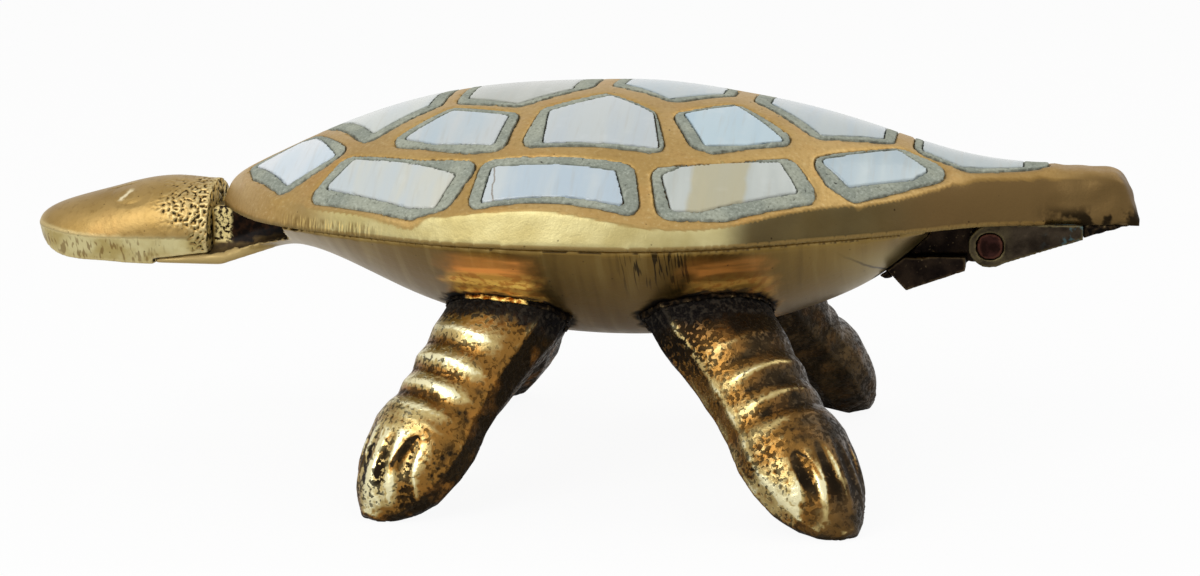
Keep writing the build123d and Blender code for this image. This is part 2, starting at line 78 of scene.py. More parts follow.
room = bpy.data.worlds.new("room")
scene.world = room
room.use_nodes = True
room_nodes = room.node_tree.nodes
room_links = room.node_tree.links
backdrop = room_nodes["Background"]
backdrop.inputs["Color"].default_value = WHITE
rays = room_nodes.new("ShaderNodeLightPath").outputs
seen = rays["Is Camera Ray"]
for kind in ("Is Glossy Ray", "Is Transmission Ray"):
    either = room_nodes.new("ShaderNodeMath")
    either.operation = "MAXIMUM"
    room_links.new(seen, either.inputs[0])
    room_links.new(rays[kind], either.inputs[1])
    seen = either.outputs[0]
strength = room_nodes.new("ShaderNodeMapRange")
strength.inputs["To Min"].default_value = ROOM_LIGHT
room_links.new(seen, strength.inputs["Value"])
room_links.new(strength.outputs[0], backdrop.inputs["Strength"])

for name, place, size, power in LAMPS:
    lamp = bpy.data.lights.new(name, "AREA")
    lamp.shape = "DISK"
    lamp.size = size
    lamp.energy = power
    holder = bpy.data.objects.new(name, lamp)
    holder.location = place
    holder.rotation_euler = (LOOK_AT - Vector(place)).to_track_quat("-Z", "Y").to_euler()
    scene.collection.objects.link(holder)

bpy.ops.object.select_all(action="DESELECT")
bpy.ops.mesh.primitive_plane_add(size=FLOOR_SIZE)
floor = bpy.context.object
floor.name = "floor"
paper = bpy.data.materials.new("paper")
paper.use_nodes = True
paper_nodes = paper.node_tree.nodes
paper_links = paper.node_tree.links
matt = paper_nodes["Principled BSDF"]
matt.inputs["Base Color"].default_value = FLOOR_COLOUR
matt.inputs["Roughness"].default_value = 1.0
matt.inputs["Specular IOR Level"].default_value = 0.0
paper_glow = paper_nodes.new("ShaderNodeEmission")
paper_rays = paper_nodes.new("ShaderNodeLightPath")
paper_seen = paper_nodes.new("ShaderNodeMath")
paper_seen.operation = "MULTIPLY"
paper_seen.inputs[1].default_value = FLOOR_GLOW
paper_links.new(paper_rays.outputs["Is Camera Ray"], paper_seen.inputs[0])
blend = paper_nodes.new("ShaderNodeMixShader")
paper_links.new(paper_seen.outputs[0], blend.inputs[0])
paper_links.new(matt.outputs[0], blend.inputs[1])
paper_links.new(paper_glow.outputs[0], blend.inputs[2])
paper_links.new(blend.outputs[0], paper_nodes["Material Output"].inputs["Surface"])
floor.data.materials.append(paper)

# Bowl: the turtle's hollow belly, one sand casting in brass with a wall of about two millimetres.
# It is buffed outside until it mirrors, left rough inside, and runs out in front in a tongue.
BOWL_GRAIN = 0.0006
BOWL_TOP = 0.0455
BOWL_COLOURS = {
    "breast": "9c8450", "keel": "7c6230", "aft": "8a7240", "cloud": "937943",
    "dark streak": "54401f", "pale streak": "b09a60", "stern": "b3a26c", "contour": "2b2113",
    "glow": "f09c46", "bright glow": "ffd466", "glow lump": "cf8f38", "drip": "17120a",
    "speck": "2c2210", "dark sand": "4c3b22", "pale sand": "6e5934", "sand blotch": "3c2f1c",
    "depths": "2a2014", "pale rim": "a8905a", "dark rim": "8a7344", "black neck": "120e0c",
    "brown neck": "2c1c12", "sawn": "d8c487", "sawn pit": "2a1e12", "soot": "1c1611",
    "rubbed": "b8a06a",
}
MM_PER_M = 1000
MOST_TRIANGLES = 180000
MERGED_WITHIN = 0.000002


class Signal:
    """A value or colour that runs through a finish; sums on it are worked out at each point."""

    def __init__(self, finish, socket):
        self.finish = finish
        self.socket = socket

    def sum_of(self, operation, *terms):
        return self.finish.node("ShaderNodeMath", {"operation": operation}, dict(enumerate(terms)))

    def __add__(self, other):
        return self.sum_of("ADD", self, other)

    def __mul__(self, other):
        return self.sum_of("MULTIPLY", self, other)

    def __sub__(self, other):
        return self.sum_of("SUBTRACT", self, other)

    def __rsub__(self, other):
        return self.sum_of("SUBTRACT", other, self)

    __radd__ = __add__
    __rmul__ = __mul__

    def rising(self, low, high):
        """0 where the signal is under the low value, 1 where it is over the high one."""
        return self.finish.node(
            "ShaderNodeMapRange",
            {"interpolation_type": "SMOOTHSTEP"},
            {"Value": self, "From Min": low, "From Max": high},
        )

    def falling(self, low, high):
        """1 where the signal is under the low value, 0 where it is over the high one."""
        return 1 - self.rising(low, high)

    def window(self, low, high, soft):
        """1 between the low and the high value, with ends as soft as told."""
        return self.rising(low - soft, low + soft) * self.falling(high - soft, high + soft)


class Finish:
    """The surface of one kind of piece: a physical shader, its named colours, and the signals that
    vary it. Places are in metres, sizes of textures in millimetres. A texture runs from about 0.25 to
    0.75, so the two values it is rising or falling between say how much of the piece it covers."""

    BLOTCHES_PER_M = 900.0
    # The numbers of a colour mix's sockets, the last one being where the mixed colour comes out.
    SHARE, UNDER, OVER, MIXED = 0, 6, 7, 2

    def __init__(self, name, colours, roughness, metallic=1.0, **constants):
        self.colours = colours
        self.material = bpy.data.materials.new(name)
        self.material.use_nodes = True
        self.tree = self.material.node_tree
        self.shader = self.tree.nodes["Principled BSDF"]
        self.give("Roughness", roughness)
        self.give("Metallic", metallic)
        for socket, value in constants.items():
            self.give(socket.replace("_", " "), value)
        self.place = self.node("ShaderNodeTexCoord", {}, {}, "Object")
        self.x, self.y, self.z = (
            self.node("ShaderNodeSeparateXYZ", {}, {"Vector": self.place}, axis) for axis in "XYZ"
        )

    def node(self, kind, settings, values, output=0):
        """A node of any kind, with its settings made first and then its sockets filled."""
        made = self.tree.nodes.new(kind)
        for key, value in settings.items():
            setattr(made, key, value)
        for key, value in values.items():
            if isinstance(value, Signal):
                self.tree.links.new(value.socket, made.inputs[key])
            else:
                made.inputs[key].default_value = value
        return Signal(self, made.outputs[output])

    def give(self, socket, value):
        """Sets one of the shader's own sockets to a constant, or leads a signal into it."""
        if isinstance(value, Signal):
            self.tree.links.new(value.socket, self.shader.inputs[socket])
        else:
            self.shader.inputs[socket].default_value = value

    def mottle(self, size, detail=3.0, stretch=(1, 1, 1), turn=(0, 0, 0), shift=(0, 0, 0), warp=0.0):
        """Cloudy noise whose blotches are about as large as the size, in millimetres."""
        place = self.node(
            "ShaderNodeMapping",
            {},
            {"Vector": self.place, "Location": shift, "Rotation": turn, "Scale": stretch},
        )
        scale = self.BLOTCHES_PER_M / size
        return self.node(
            "ShaderNodeTexNoise",
            {},
            {"Vector": place, "Scale": scale, "Detail": detail, "Distortion": warp},
        )

    def pocks(self, size):
        """Distance to the nearest of many scattered points, 0 at each point."""
        return self.node("ShaderNodeTexVoronoi", {}, {"Vector": self.place, "Scale": MM_PER_M / size})

    def painted(self, name):
        """What was painted on the piece's points under a name."""
        return self.node("ShaderNodeAttribute", {"attribute_name": name}, {}, "Fac")

    def colour(self, value):
        """One of the finish's named colours in the shader's own light units, or a colour signal."""
        return tone(self.colours[value]) if isinstance(value, str) else value

    def mix(self, share, under, over):
        """Two colours mixed: the first where the share is 0, the second where it is 1."""
        sockets = {self.SHARE: share, self.UNDER: self.colour(under), self.OVER: self.colour(over)}
        return self.node("ShaderNodeMix", {"data_type": "RGBA"}, sockets, self.MIXED)

    def lay(self, over, where, strength=None):
        """Lays a colour over the skin so far, where the signal says so, and no stronger than told."""
        share = where if strength is None else where * strength
        self.skin = self.mix(share, self.skin, over)

    def relief(self, height, depth):
        """Bumps as high as the depth, in millimetres."""
        bump = self.node("ShaderNodeBump", {}, {"Height": height, "Distance": depth / MM_PER_M})
        self.give("Normal", bump)


def tone(code):
    """A colour from its six-figure screen code, in the shader's own light units."""
    parts = [int(code[i:i + 2], 16) / 255 for i in (0, 2, 4)]
    return tuple(p / 12.92 if p < 0.04045 else ((p + 0.055) / 1.055) ** 2.4 for p in parts) + (1,)


def apply(piece, name, kind, **settings):
    """Works one modifier, with its settings, into a piece's mesh."""
    modifier = piece.modifiers.new(name, kind)
    for key, value in settings.items():
        setattr(modifier, key, value)
    bpy.ops.object.modifier_apply(modifier=modifier.name)


def notch(piece, corners, near_y, far_y):
    """Cuts a notch out of a piece, right across between two places; its four corners are as seen
    from the side, the lower two first, and in each pair the front one first."""
    bpy.ops.object.select_all(action="DESELECT")
    bpy.ops.mesh.primitive_cube_add(size=2)
    cutter = bpy.context.object
    for point in cutter.data.vertices:
        x, z = corners[(point.co.x > 0) + 2 * (point.co.z > 0)]
        point.co = (x, near_y if point.co.y < 0 else far_y, z)
    bpy.context.view_layer.objects.active = piece
    apply(piece, "notch", "BOOLEAN", operation="DIFFERENCE", solver="EXACT", object=cutter)
    bpy.data.objects.remove(cutter)


def casting(node, name, body, grain, rounding, notches=()):
    """A finely meshed copy of a solid with its edges rounded over, which stands for that solid."""
    bpy.ops.object.select_all(action="DESELECT")
    piece = bpy.data.objects.new(name, nodes[node].data.copy())
    scene.collection.objects.link(piece)
    piece.data.materials.clear()
    piece.select_set(True)
    bpy.context.view_layer.objects.active = piece
    bpy.ops.object.mode_set(mode="EDIT")
    bpy.ops.mesh.select_all(action="SELECT")
    bpy.ops.mesh.remove_doubles(threshold=MERGED_WITHIN)
    bpy.ops.object.mode_set(mode="OBJECT")
    for corners, near_y, far_y in notches:
        notch(piece, corners, near_y, far_y)
    piece.select_set(True)
    apply(piece, "skin", "REMESH", mode="VOXEL", voxel_size=grain, use_smooth_shade=True)
    apply(piece, "tumble", "SMOOTH", factor=0.5, iterations=rounding)
    triangles = len(piece.data.polygons) * 2
    if triangles > MOST_TRIANGLES:
        apply(piece, "thin", "DECIMATE", ratio=MOST_TRIANGLES / triangles)
    bpy.ops.object.shade_smooth()
    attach(piece, body)
    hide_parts(node)
    return piece


def points_of(piece):
    """A piece's points and their normals, in rows. A normal's last part is 1 where the surface looks
    up, 0 where it stands upright and -1 where it looks down."""
    count = len(piece.data.vertices)
    places = np.zeros(count * 3, np.float32)
    normals = np.zeros(count * 3, np.float32)
    piece.data.vertices.foreach_get("co", places)
    piece.data.vertex_normals.foreach_get("vector", normals)
    return places.reshape(-1, 3), normals.reshape(-1, 3)


def put_points(piece, places):
    """Moves a piece's points to new places."""
    piece.data.vertices.foreach_set("co", places.astype(np.float32).ravel())
    piece.data.update()


def push_in(piece, depths):
    """Sinks each point by its own depth, in metres."""
    places, normals = points_of(piece)
    put_points(piece, places - normals * depths[:, None])


def at_each_point(piece, measure):
    """What a function gives for each point's place, in millimetres, and its normal."""
    places, normals = points_of(piece)
    return np.array([measure(Vector(p) * MM_PER_M, n) for p, n in zip(places, normals)])


def sink(piece, depth):
    """Sinks each point by the millimetres that a function gives for its place and normal."""
    push_in(piece, at_each_point(piece, depth).astype(np.float32) / MM_PER_M)


def edges_of(piece):
    """Both ends of each of a piece's edges, and how many edges meet in each point."""
    ends = np.zeros(len(piece.data.edges) * 2, np.int32)
    piece.data.edges.foreach_get("vertices", ends)
    meeting = np.bincount(ends, minlength=len(piece.data.vertices))
    return ends[0::2], ends[1::2], np.maximum(meeting, 1)


def evened(places, edges):
    """The middle of each point's neighbours."""
    first, second, meeting = edges
    count = len(places)
    totals = [
        np.bincount(first, places[second, axis], count) + np.bincount(second, places[first, axis], count)
        for axis in range(3)
    ]
    return np.stack(totals, axis=1) / meeting[:, None]


def rub_over(piece, weights, rounds):
    """Rounds a piece over where the weights are high, point by point towards its neighbours."""
    places = points_of(piece)[0].astype(np.float64)
    edges = edges_of(piece)
    for _ in range(rounds):
        places += (evened(places, edges) - places) * (0.5 * weights)[:, None]
    put_points(piece, places)


def level(piece, low, high, height):
    """Brings the points between two heights back to one height, so that a rim stays flat and crisp."""
    places = points_of(piece)[0]
    on_rim = (places[:, 2] > low) & (places[:, 2] < high)
    places[on_rim, 2] = height
    put_points(piece, places)


def paint(piece, name, shares):
    """Writes a share from 0 to 1 on each point of a piece, for its finish to read."""
    layer = piece.data.attributes.new(name, "FLOAT", "POINT")
    layer.data.foreach_set("value", np.clip(np.array(shares, np.float32), 0, 1))


def paint_wear(piece, reach, full, rubbed=1.0, dirty=1.0):
    """Paints how far each point stands out of the surface round it, which is evened out in as many
    rounds as the reach: over a half on edges that get rubbed bright, and under a half in hollows
    that keep their dirt. Full is the height, in millimetres, that counts as the most."""
    places, normals = points_of(piece)
    edges = edges_of(piece)
    even = places.astype(np.float64)
    for _ in range(reach):
        even = evened(even, edges)
    height = ((places - even) * normals).sum(axis=1) * MM_PER_M / full
    paint(piece, "wear", 0.5 + 0.5 * np.where(height > 0, height * rubbed, height * dirty))


def steps(values, low, high):
    """0 under the low value and 1 over the high one, softly, for a whole row of values."""
    share = np.clip((values - low) / (high - low), 0, 1)
    return share * share * (3 - 2 * share)


def holes(place, size, spare=0.0):
    """0 on sound metal, rising to 1 in holes of a size; a larger spare leaves fewer of them."""
    return max(0.0, noise.noise(place / size) - spare) / (1 - spare)


def clamp(share):
    """A share held between 0 and 1."""
    return max(0.0, min(1.0, share))


# The bowl's relief, in millimetres: slow waves, a ragged spout, and a rough inside.
BOWL_SKIM, BOWL_WAVE = 0.04, 9
SPOUT_BACK, SPOUT_FLOOR, SPOUT_SIDE = -44, 37, 6.5
SPOUT_BITE, SPOUT_BITE_SIZE = 0.4, 1.5
HOLLOW_FRONT, HOLLOW_TOP = -48, 45
HOLLOW_BITE, HOLLOW_BITE_SIZE = 0.12, 1.2


def bowl_depth(place, normal):
    """Slow waves from buffing, a ragged edge round the spout that nobody filed, and coarse sand
    marks on all that looks up inside."""
    depth = BOWL_SKIM + BOWL_SKIM * noise.noise(place / BOWL_WAVE)
    beside_spout = place.x < SPOUT_BACK and place.z > SPOUT_FLOOR and abs(place.y) > SPOUT_SIDE
    if beside_spout and normal[2] > 0.3:
        depth += SPOUT_BITE * (0.5 + noise.noise(place / SPOUT_BITE_SIZE))
    if place.x > HOLLOW_FRONT and place.z < HOLLOW_TOP and normal[2] > 0.1:
        depth += HOLLOW_BITE * (0.5 + noise.noise(place / HOLLOW_BITE_SIZE))
    return depth


# The trough's side walls run lower than the rim for a stretch just behind the head.
SPOUT_NOTCH = ((-0.06, 0.0386), (-0.0484, 0.042), (-0.061, 0.047), (-0.0474, 0.047))
NECK_SIDE = 0.0063
FULL_WIDTH = 0.05
NOTCHES = ((SPOUT_NOTCH, -FULL_WIDTH, -NECK_SIDE), (SPOUT_NOTCH, NECK_SIDE, FULL_WIDTH))
RIM_BELOW, RIM_ABOVE, RIM_LIFT, RIM_FADE = 0.0004, 0.0001, 0.00004, 0.0008
NECK_BACK, NECK_HALF, NECK_FLOOR = -0.049, 0.0064, 0.0388
BOWL_SOOT_REACH = 0.0045
LEGS = ["leg_front_left", "leg_front_right", "leg_rear_left", "leg_rear_right"]


def nearness(piece, others, reach):
    """How near each point is to any of some solids: 1 on them, 0 beyond the reach in metres."""
    corners, faces = [], []
    for other in others:
        start = len(corners)
        corners += [v.co.copy() for v in nodes[other].data.vertices]
        faces += [[start + i for i in f.vertices] for f in nodes[other].data.polygons]
    tree = BVHTree.FromPolygons(corners, faces)
    gaps = [tree.find_nearest(Vector(p))[3] for p in points_of(piece)[0]]
    return 1 - np.clip(np.array(gaps) / reach, 0, 1)


bowl = casting("bowl", "bowl_casting", "base", BOWL_GRAIN, rounding=3, notches=NOTCHES)
sink(bowl, bowl_depth)
level(bowl, BOWL_TOP - RIM_BELOW, BOWL_TOP + RIM_ABOVE, BOWL_TOP + RIM_LIFT)
paint_wear(bowl, reach=10, full=0.35)
places, normals = points_of(bowl)
on_rim = steps(places[:, 2], BOWL_TOP - RIM_FADE, BOWL_TOP - RIM_BELOW) * steps(normals[:, 2], 0.4, 0.8)
in_neck = (places[:, 0] < NECK_BACK) & (np.abs(places[:, 1]) < NECK_HALF) & (places[:, 2] > NECK_FLOOR)
paint(bowl, "inside", steps(normals[:, 2], 0.0, 0.25) * (1 - on_rim))
paint(bowl, "rim", on_rim)
paint(bowl, "soot", nearness(bowl, LEGS + ["bracket_braze", "hinge_bracket"], BOWL_SOOT_REACH))
# Painted shade: the bar behind the head is coloured near black, as the shade between head and bowl.
paint(bowl, "neck", in_neck)

# Where the belly's look changes: along it, across it and up it, and how far such a border strays.
BREAST_X, AFT_X = (-0.052, -0.014), (0.03, 0.062)
BOWL_STERN_X, BOWL_STERN_Z = (0.044, 0.06), (0.04, 0.0445)
CONTOUR, CONTOUR_SOFT, CONTOUR_LEAN, CONTOUR_STRAY = (0.0775, 0.078), 0.0002, 0.7, 0.0012
# Painted reflections of the legs in the belly over them, warm: from, to, and how strong.
GLOWS = [(-0.0155, -0.001, 1.0), (0.025, 0.037, 0.5)]
GLOW_SOFT, GLOW_STRAY, GLOW_Z = 0.003, 0.006, (0.042, 0.0448)
LOW_GLOW_STRAY, LOW_GLOW_Z = 0.003, (0.0383, 0.0412)
DRIP_X, DRIP_SOFT = (0.0145, 0.0255), 0.0015
DRIP_Y, DRIP_Z, DRIP_STRAY = (-0.02, -0.01), (0.035, 0.041), 0.01
BOWL_DEPTHS_Z = (0.026, 0.045)
SAWN_X, SAWN_STRAY = (-0.0628, -0.0618), 0.0015
RUBBED_Z = (0.0435, 0.0445)

belly = Finish("buffed_brass", BOWL_COLOURS, roughness=0.3)
cloud = belly.mottle(24, detail=2)
streaks = belly.mottle(1.8, detail=4, stretch=(1, 0.08, 0.08))
# Painted reflection: the buffed belly is paler at the breast, darker under its middle and paler low on the
# stern.
belly.skin = belly.mix(belly.x.rising(*BREAST_X), "breast", "keel")
belly.lay("aft", belly.x.rising(*AFT_X))
belly.lay("cloud", (cloud - 0.35).rising(0.0, 0.4), 0.4)
belly.lay("dark streak", streaks.rising(0.5, 0.75), 0.35)
belly.lay("pale streak", streaks.falling(0.25, 0.48), 0.3)
stern = belly.x.rising(*BOWL_STERN_X) * belly.z.falling(*BOWL_STERN_Z)
belly.lay("stern", stern, 0.6)
contour = belly.z + CONTOUR_LEAN * belly.x + CONTOUR_STRAY * belly.mottle(5)
belly.lay("contour", contour.window(*CONTOUR, CONTOUR_SOFT) * stern)
bands = belly.mottle(1.6, detail=3, stretch=(0.1, 0.1, 1))
# Painted reflection: a warm patch over each leg, bright yellow low down by the leg's top, made rougher and
# less metallic.
glowing = 0
for glow_from, glow_to, glow_share in GLOWS:
    edge = belly.x + GLOW_STRAY * (belly.mottle(2.5, detail=4) - 0.5)
    glow = edge.window(glow_from, glow_to, GLOW_SOFT) * belly.z.falling(*GLOW_Z)
    glow = glow * (0.5 + 0.5 * bands.rising(0.38, 0.6))
    belly.lay("glow", glow * (0.42 + 0.55 * glow_share))
    bright = (belly.z + LOW_GLOW_STRAY * (bands - 0.5)).falling(*LOW_GLOW_Z) * glow
    lumps = belly.mottle(1.4, detail=4).rising(0.46, 0.6)
    belly.lay(belly.mix(lumps, "bright glow", "glow lump"), bright * glow_share)
    glowing = glow * glow_share + glowing
drip_here = belly.x.window(*DRIP_X, DRIP_SOFT) * belly.y.falling(*DRIP_Y)
drip_here = drip_here * (belly.z + DRIP_STRAY * (cloud - 0.5)).rising(*DRIP_Z)
drips = belly.mottle(0.42, detail=1.5, stretch=(1, 0.07, 0.07)).rising(0.55, 0.61)
belly.lay("drip", drips * drip_here, 0.85)
belly.lay("speck", belly.pocks(2.6).falling(0.04, 0.09), 0.6)
rough_inside = belly.painted("inside")
coarse = belly.mottle(1.1, detail=4)
sand = belly.mix(coarse.rising(0.3, 0.7), "dark sand", "pale sand")
sand = belly.mix(belly.mottle(7, detail=4).rising(0.4, 0.65) * 0.5, sand, "sand blotch")
sand = belly.mix(belly.z.falling(*BOWL_DEPTHS_Z) * 0.6, sand, "depths")
belly.lay(sand, rough_inside)
rim = belly.mix(streaks.rising(0.4, 0.6), "pale rim", "dark rim")
belly.lay(rim, belly.painted("rim"))
# Painted shade on the bar behind the head: near black, but for its pale, pitted sawn front end.
neck = belly.mix(coarse.rising(0.4, 0.7), "black neck", "brown neck")
neck_end = belly.mix(belly.mottle(0.6, detail=4).rising(0.46, 0.58), "sawn", "sawn pit")
neck = belly.mix((belly.x + SAWN_STRAY * (coarse - 0.5)).rising(*SAWN_X), neck_end, neck)
belly.lay(neck, belly.painted("neck"))
flecks = belly.mottle(2.2, detail=5)
soot = (belly.painted("soot") + 0.8 * (flecks - 0.5)).rising(0.5, 0.86) * glowing.falling(0.4, 0.9)
belly.lay("soot", soot)
belly.lay("rubbed", belly.painted("wear").rising(0.62, 0.9) * belly.z.falling(*RUBBED_Z))
belly.give("Base Color", belly.skin)
belly.give("Roughness", 0.24 + 0.4 * rough_inside + 0.15 * streaks + 0.35 * soot + 0.25 * glowing)
belly.give("Metallic", 1 - 0.75 * glowing - 0.4 * rough_inside)
belly.relief(0.6 * streaks + coarse * rough_inside + 0.4 * belly.mottle(0.6), 0.05)
bowl.data.materials.append(belly.material)

# Head: a solid brass casting of its own, brazed on the tongue. Its crown is buffed, its jaw is filed
# to a flat facet, and its sawn rear face still shows the pits of the sand.
HEAD_GRAIN = 0.00025
HEAD_COLOURS = {
    "crown": "937743", "pale crown": "a98d58", "warm jaw": "b07c3c", "grain": "6f562a",
    "filed": "b8a468", "pale filed": "d9cd98", "arris": "5c4824", "file cut": "6e4a20",
    "chin": "8c7b52", "glint": "f2e6c0", "sawn": "e8d698", "sawn pit": "2a1e12",
    "dirt": "1d160d", "rubbed": "dcca94", "speck": "3a2c16",
}
# The head's relief, in millimetres: the eye, and the pits on the cheek, the nape and the rear face.
HEAD_SKIM, HEAD_WAVE = 0.03, 4
EYE_X, EYE_Z, EYE_LENGTH, EYE_HEIGHT = -82.0, 47.2, 3.4, 1.5
EYE_DEPTH, EYE_LINE, EYE_FROM_MIDDLE = 0.14, 0.5, 2
CHEEK_X, CHEEK_Z, CHEEK_LENGTH, CHEEK_HEIGHT = -71.0, 46, 6.5, 5.5
NAPE_X, NAPE_FADE = -70.0, 2.0
CHEEK_PIT, NAPE_PIT, PIT_SIZE = 0.8, 0.6, 0.5
REAR_SUNK, REAR_PIT, REAR_PIT_SIZE = 0.1, 0.5, 0.8
JAW_BACK, FILE_CUT, FILE_PITCH, FILE_LENGTH = -72, 0.1, 0.45, 5


def head_depth(place, normal):
    """Pits in the rear face and behind the eyes, an almond cut round each eye, and the cuts of a
    file along the jaw's lower edge."""
    depth = HEAD_SKIM + HEAD_SKIM * noise.noise(place / HEAD_WAVE)
    if normal[0] > 0.5:
        depth += REAR_SUNK + REAR_PIT * holes(place, REAR_PIT_SIZE)
    elif normal[2] > -0.35:
        cheek = max(0.0, 1 - abs(place.x - CHEEK_X) / CHEEK_LENGTH)
        cheek *= max(0.0, 1 - abs(place.z - CHEEK_Z) / CHEEK_HEIGHT)
        nape = clamp((place.x - NAPE_X) / NAPE_FADE)
        depth += (CHEEK_PIT * cheek + NAPE_PIT * nape) * holes(place, PIT_SIZE)
    if abs(place.y) > EYE_FROM_MIDDLE:
        ring = math.hypot((place.x - EYE_X) / EYE_LENGTH, (place.z - EYE_Z) / EYE_HEIGHT)
        depth += EYE_DEPTH * max(0.0, 1 - abs(ring - 1) / EYE_LINE)
    if normal[2] < -0.1 and abs(normal[1]) > 0.3 and place.x < JAW_BACK:
        cut = noise.noise(Vector((place.x / FILE_PITCH, 0, place.z / FILE_LENGTH)))
        depth += FILE_CUT * max(0.0, cut)
    return depth


head = casting("head", "head_casting", "base", HEAD_GRAIN, rounding=4)
sink(head, head_depth)
paint_wear(head, reach=16, full=0.14)
normals = points_of(head)[1]
paint(head, "facet", steps(-normals[:, 2], -0.02, 0.22) * steps(np.abs(normals[:, 1]), 0.2, 0.5))
paint(head, "sawn", steps(normals[:, 0], 0.35, 0.7))
paint(head, "under", steps(-normals[:, 2], 0.75, 0.95))

JAW_Z = (0.043, 0.047)
CUTS_X, CUTS_Z = (-0.08, -0.07), (0.0385, 0.0405)
GLINT, GLINT_Z, GLINT_SOFT = (-0.1244, -0.1236), (0.0462, 0.048), 0.0003
GLINT_LEAN, GLINT_STRAY = 0.9, 0.0012

crown = Finish("head_brass", HEAD_COLOURS, roughness=0.34)
cloud = crown.mottle(9, detail=3)
fine = crown.mottle(1.0, detail=4)
crown.skin = crown.mix(cloud.rising(0.3, 0.7), "crown", "pale crown")
crown.lay("warm jaw", cloud.rising(0.5, 0.8) * crown.z.falling(*JAW_Z), 0.5)
crown.lay("grain", fine.rising(0.52, 0.75), 0.35)
# The jaw facet is filed, and its paleness is also painted reflection of the pale table it faces down
# towards.
facet = crown.painted("facet")
filed = crown.mix(crown.mottle(5, detail=3).rising(0.35, 0.65), "filed", "pale filed")
crown.lay(filed, facet)
crown.lay("arris", facet * (1 - facet), 2.2)
cuts = crown.mottle(0.7, detail=1, stretch=(1, 1, 0.1)).rising(0.52, 0.62) * facet
cuts = cuts * crown.z.falling(*CUTS_Z) * crown.x.falling(*CUTS_X)
crown.lay("file cut", cuts, 0.6)
crown.lay("chin", crown.painted("under"))
glint = (crown.x - GLINT_LEAN * crown.z + GLINT_STRAY * fine).window(*GLINT, GLINT_SOFT)
glint = glint * crown.z.window(*GLINT_Z, GLINT_SOFT)
crown.lay("glint", glint, 0.8)
sawn = crown.painted("sawn")
crown.lay(crown.mix(fine.rising(0.5, 0.62), "sawn", "sawn pit"), sawn)
dirt = crown.painted("wear").falling(0.24, 0.43)
crown.lay("dirt", dirt, 0.9)
crown.lay("rubbed", crown.painted("wear").rising(0.6, 0.85), 0.5)
crown.lay("speck", crown.pocks(1.9).falling(0.04, 0.12), 0.6)
crown.give("Base Color", crown.skin)
crown.give("Roughness", 0.42 + 0.2 * sawn + 0.2 * dirt - 0.14 * facet)
crown.relief(fine + 0.5 * crown.mottle(0.3), 0.05)
head.data.materials.append(crown.material)

# Legs: four solid castings with wrinkle rings, a paddle foot and grooves between the toes. Only the
# high places are buffed; the rest keeps the pitted brown skin of the sand mould. The side of each leg that
# faces the lamp is also painted brighter, as painted light, and a rear leg's side turned away from it
# darker, as painted shade.
LEG_GRAIN = 0.00034
LEG_COLOURS = {
    "sand skin": "33291b", "bronzed": "88622e", "amber": "aa7434", "dark side": "2c251b",
    "brown side": "5a4830", "scorched": "2b2722", "bare": "bda870", "buffed": "e9e0b4",
    "pit": "1f1810", "soot": "1e1c1c", "grey soot": "4a443c",
}
# A leg's middle line in millimetres: its top and foot along the turtle, and its place across and up.
LEG_REACHES = {
    "leg_front_left": (-9.9, -26.5), "leg_front_right": (-10.4, -27.9),
    "leg_rear_left": (30.2, 53.0), "leg_rear_right": (30.2, 49.2),
}
LEG_TOP_Y, LEG_TOP_Z, FOOT_Y, LEG_HALF_WIDTH = 28.0, 31.0, 50.4, 10.9
# Toe grooves and the foot's rounding, in shares of the way down and of half the width across.
TOE_GROOVES = (-0.62, -0.22, 0.22, 0.62)
TOES_FROM, TOES_TO, TOES_FADE_IN, TOES_FADE_OUT = 0.65, 0.95, 0.12, 0.1
FAN_FROM, FAN_SHARE, FAN_GROWTH = 0.7, 0.78, 0.55
GROOVE_WIDTH, GROOVE_GROWTH, GROOVE_DEPTH = 0.08, 0.34, 0.00045
FOOT_FROM, FOOT_FADE_IN, FOOT_FADE_OUT, FOOT_HEIGHT = 0.6, 0.05, 0.03, 1.5
# The sand's marks on a leg, in millimetres.
LEG_SKIM, LEG_WAVE, LEG_WAVE_SIZE = 0.04, 0.05, 3
TOP_PIT, SIDE_PIT, LEG_PIT_SIZE, PITTED_PATCH_SIZE = 0.1, 0.3, 0.7, 6


def leg_place(place, name):
    """Where a point lies on a leg: its share of the way down, its share of half the width across, and
    its height over the line down the leg's middle."""
    top_x, foot_x = LEG_REACHES[name]
    top = Vector((top_x, LEG_TOP_Y, LEG_TOP_Z))
    down = Vector((foot_x, FOOT_Y, 0)) - top
    across = Vector((-down.y, down.x, 0)).normalized()
    face = down.cross(across).normalized()
    out = Vector((place.x, abs(place.y), place.z)) - top
    return out.dot(down) / down.length_squared, out.dot(across) / LEG_HALF_WIDTH, out.dot(face)


def toe_groove(place, name):
    """How deep a groove between toes is, 0 to 1: narrow by the ankle, wide and open at the tip."""
    along, across, height = leg_place(place, name)
    if not TOES_FROM < along < TOES_TO or height < 0:
        return 0.0
    spread = FAN_SHARE + FAN_GROWTH * (along - FAN_FROM)
    width = GROOVE_WIDTH + GROOVE_GROWTH * (along - TOES_FROM)
    nearest = min(abs(across - groove * spread) for groove in TOE_GROOVES)
    ends = min(1.0, (along - TOES_FROM) / TOES_FADE_IN, (TOES_TO - along) / TOES_FADE_OUT)
    return max(0.0, 1 - (nearest / width) ** 2) * ends


def on_foot(place, name):
    """1 on the foot's outer face, 0 on the rest of the leg."""
    along, _, height = leg_place(place, name)
    ends = min(clamp((along - FOOT_FROM) / FOOT_FADE_IN), clamp((1.0 - along) / FOOT_FADE_OUT))
    return ends * clamp(height / FOOT_HEIGHT)


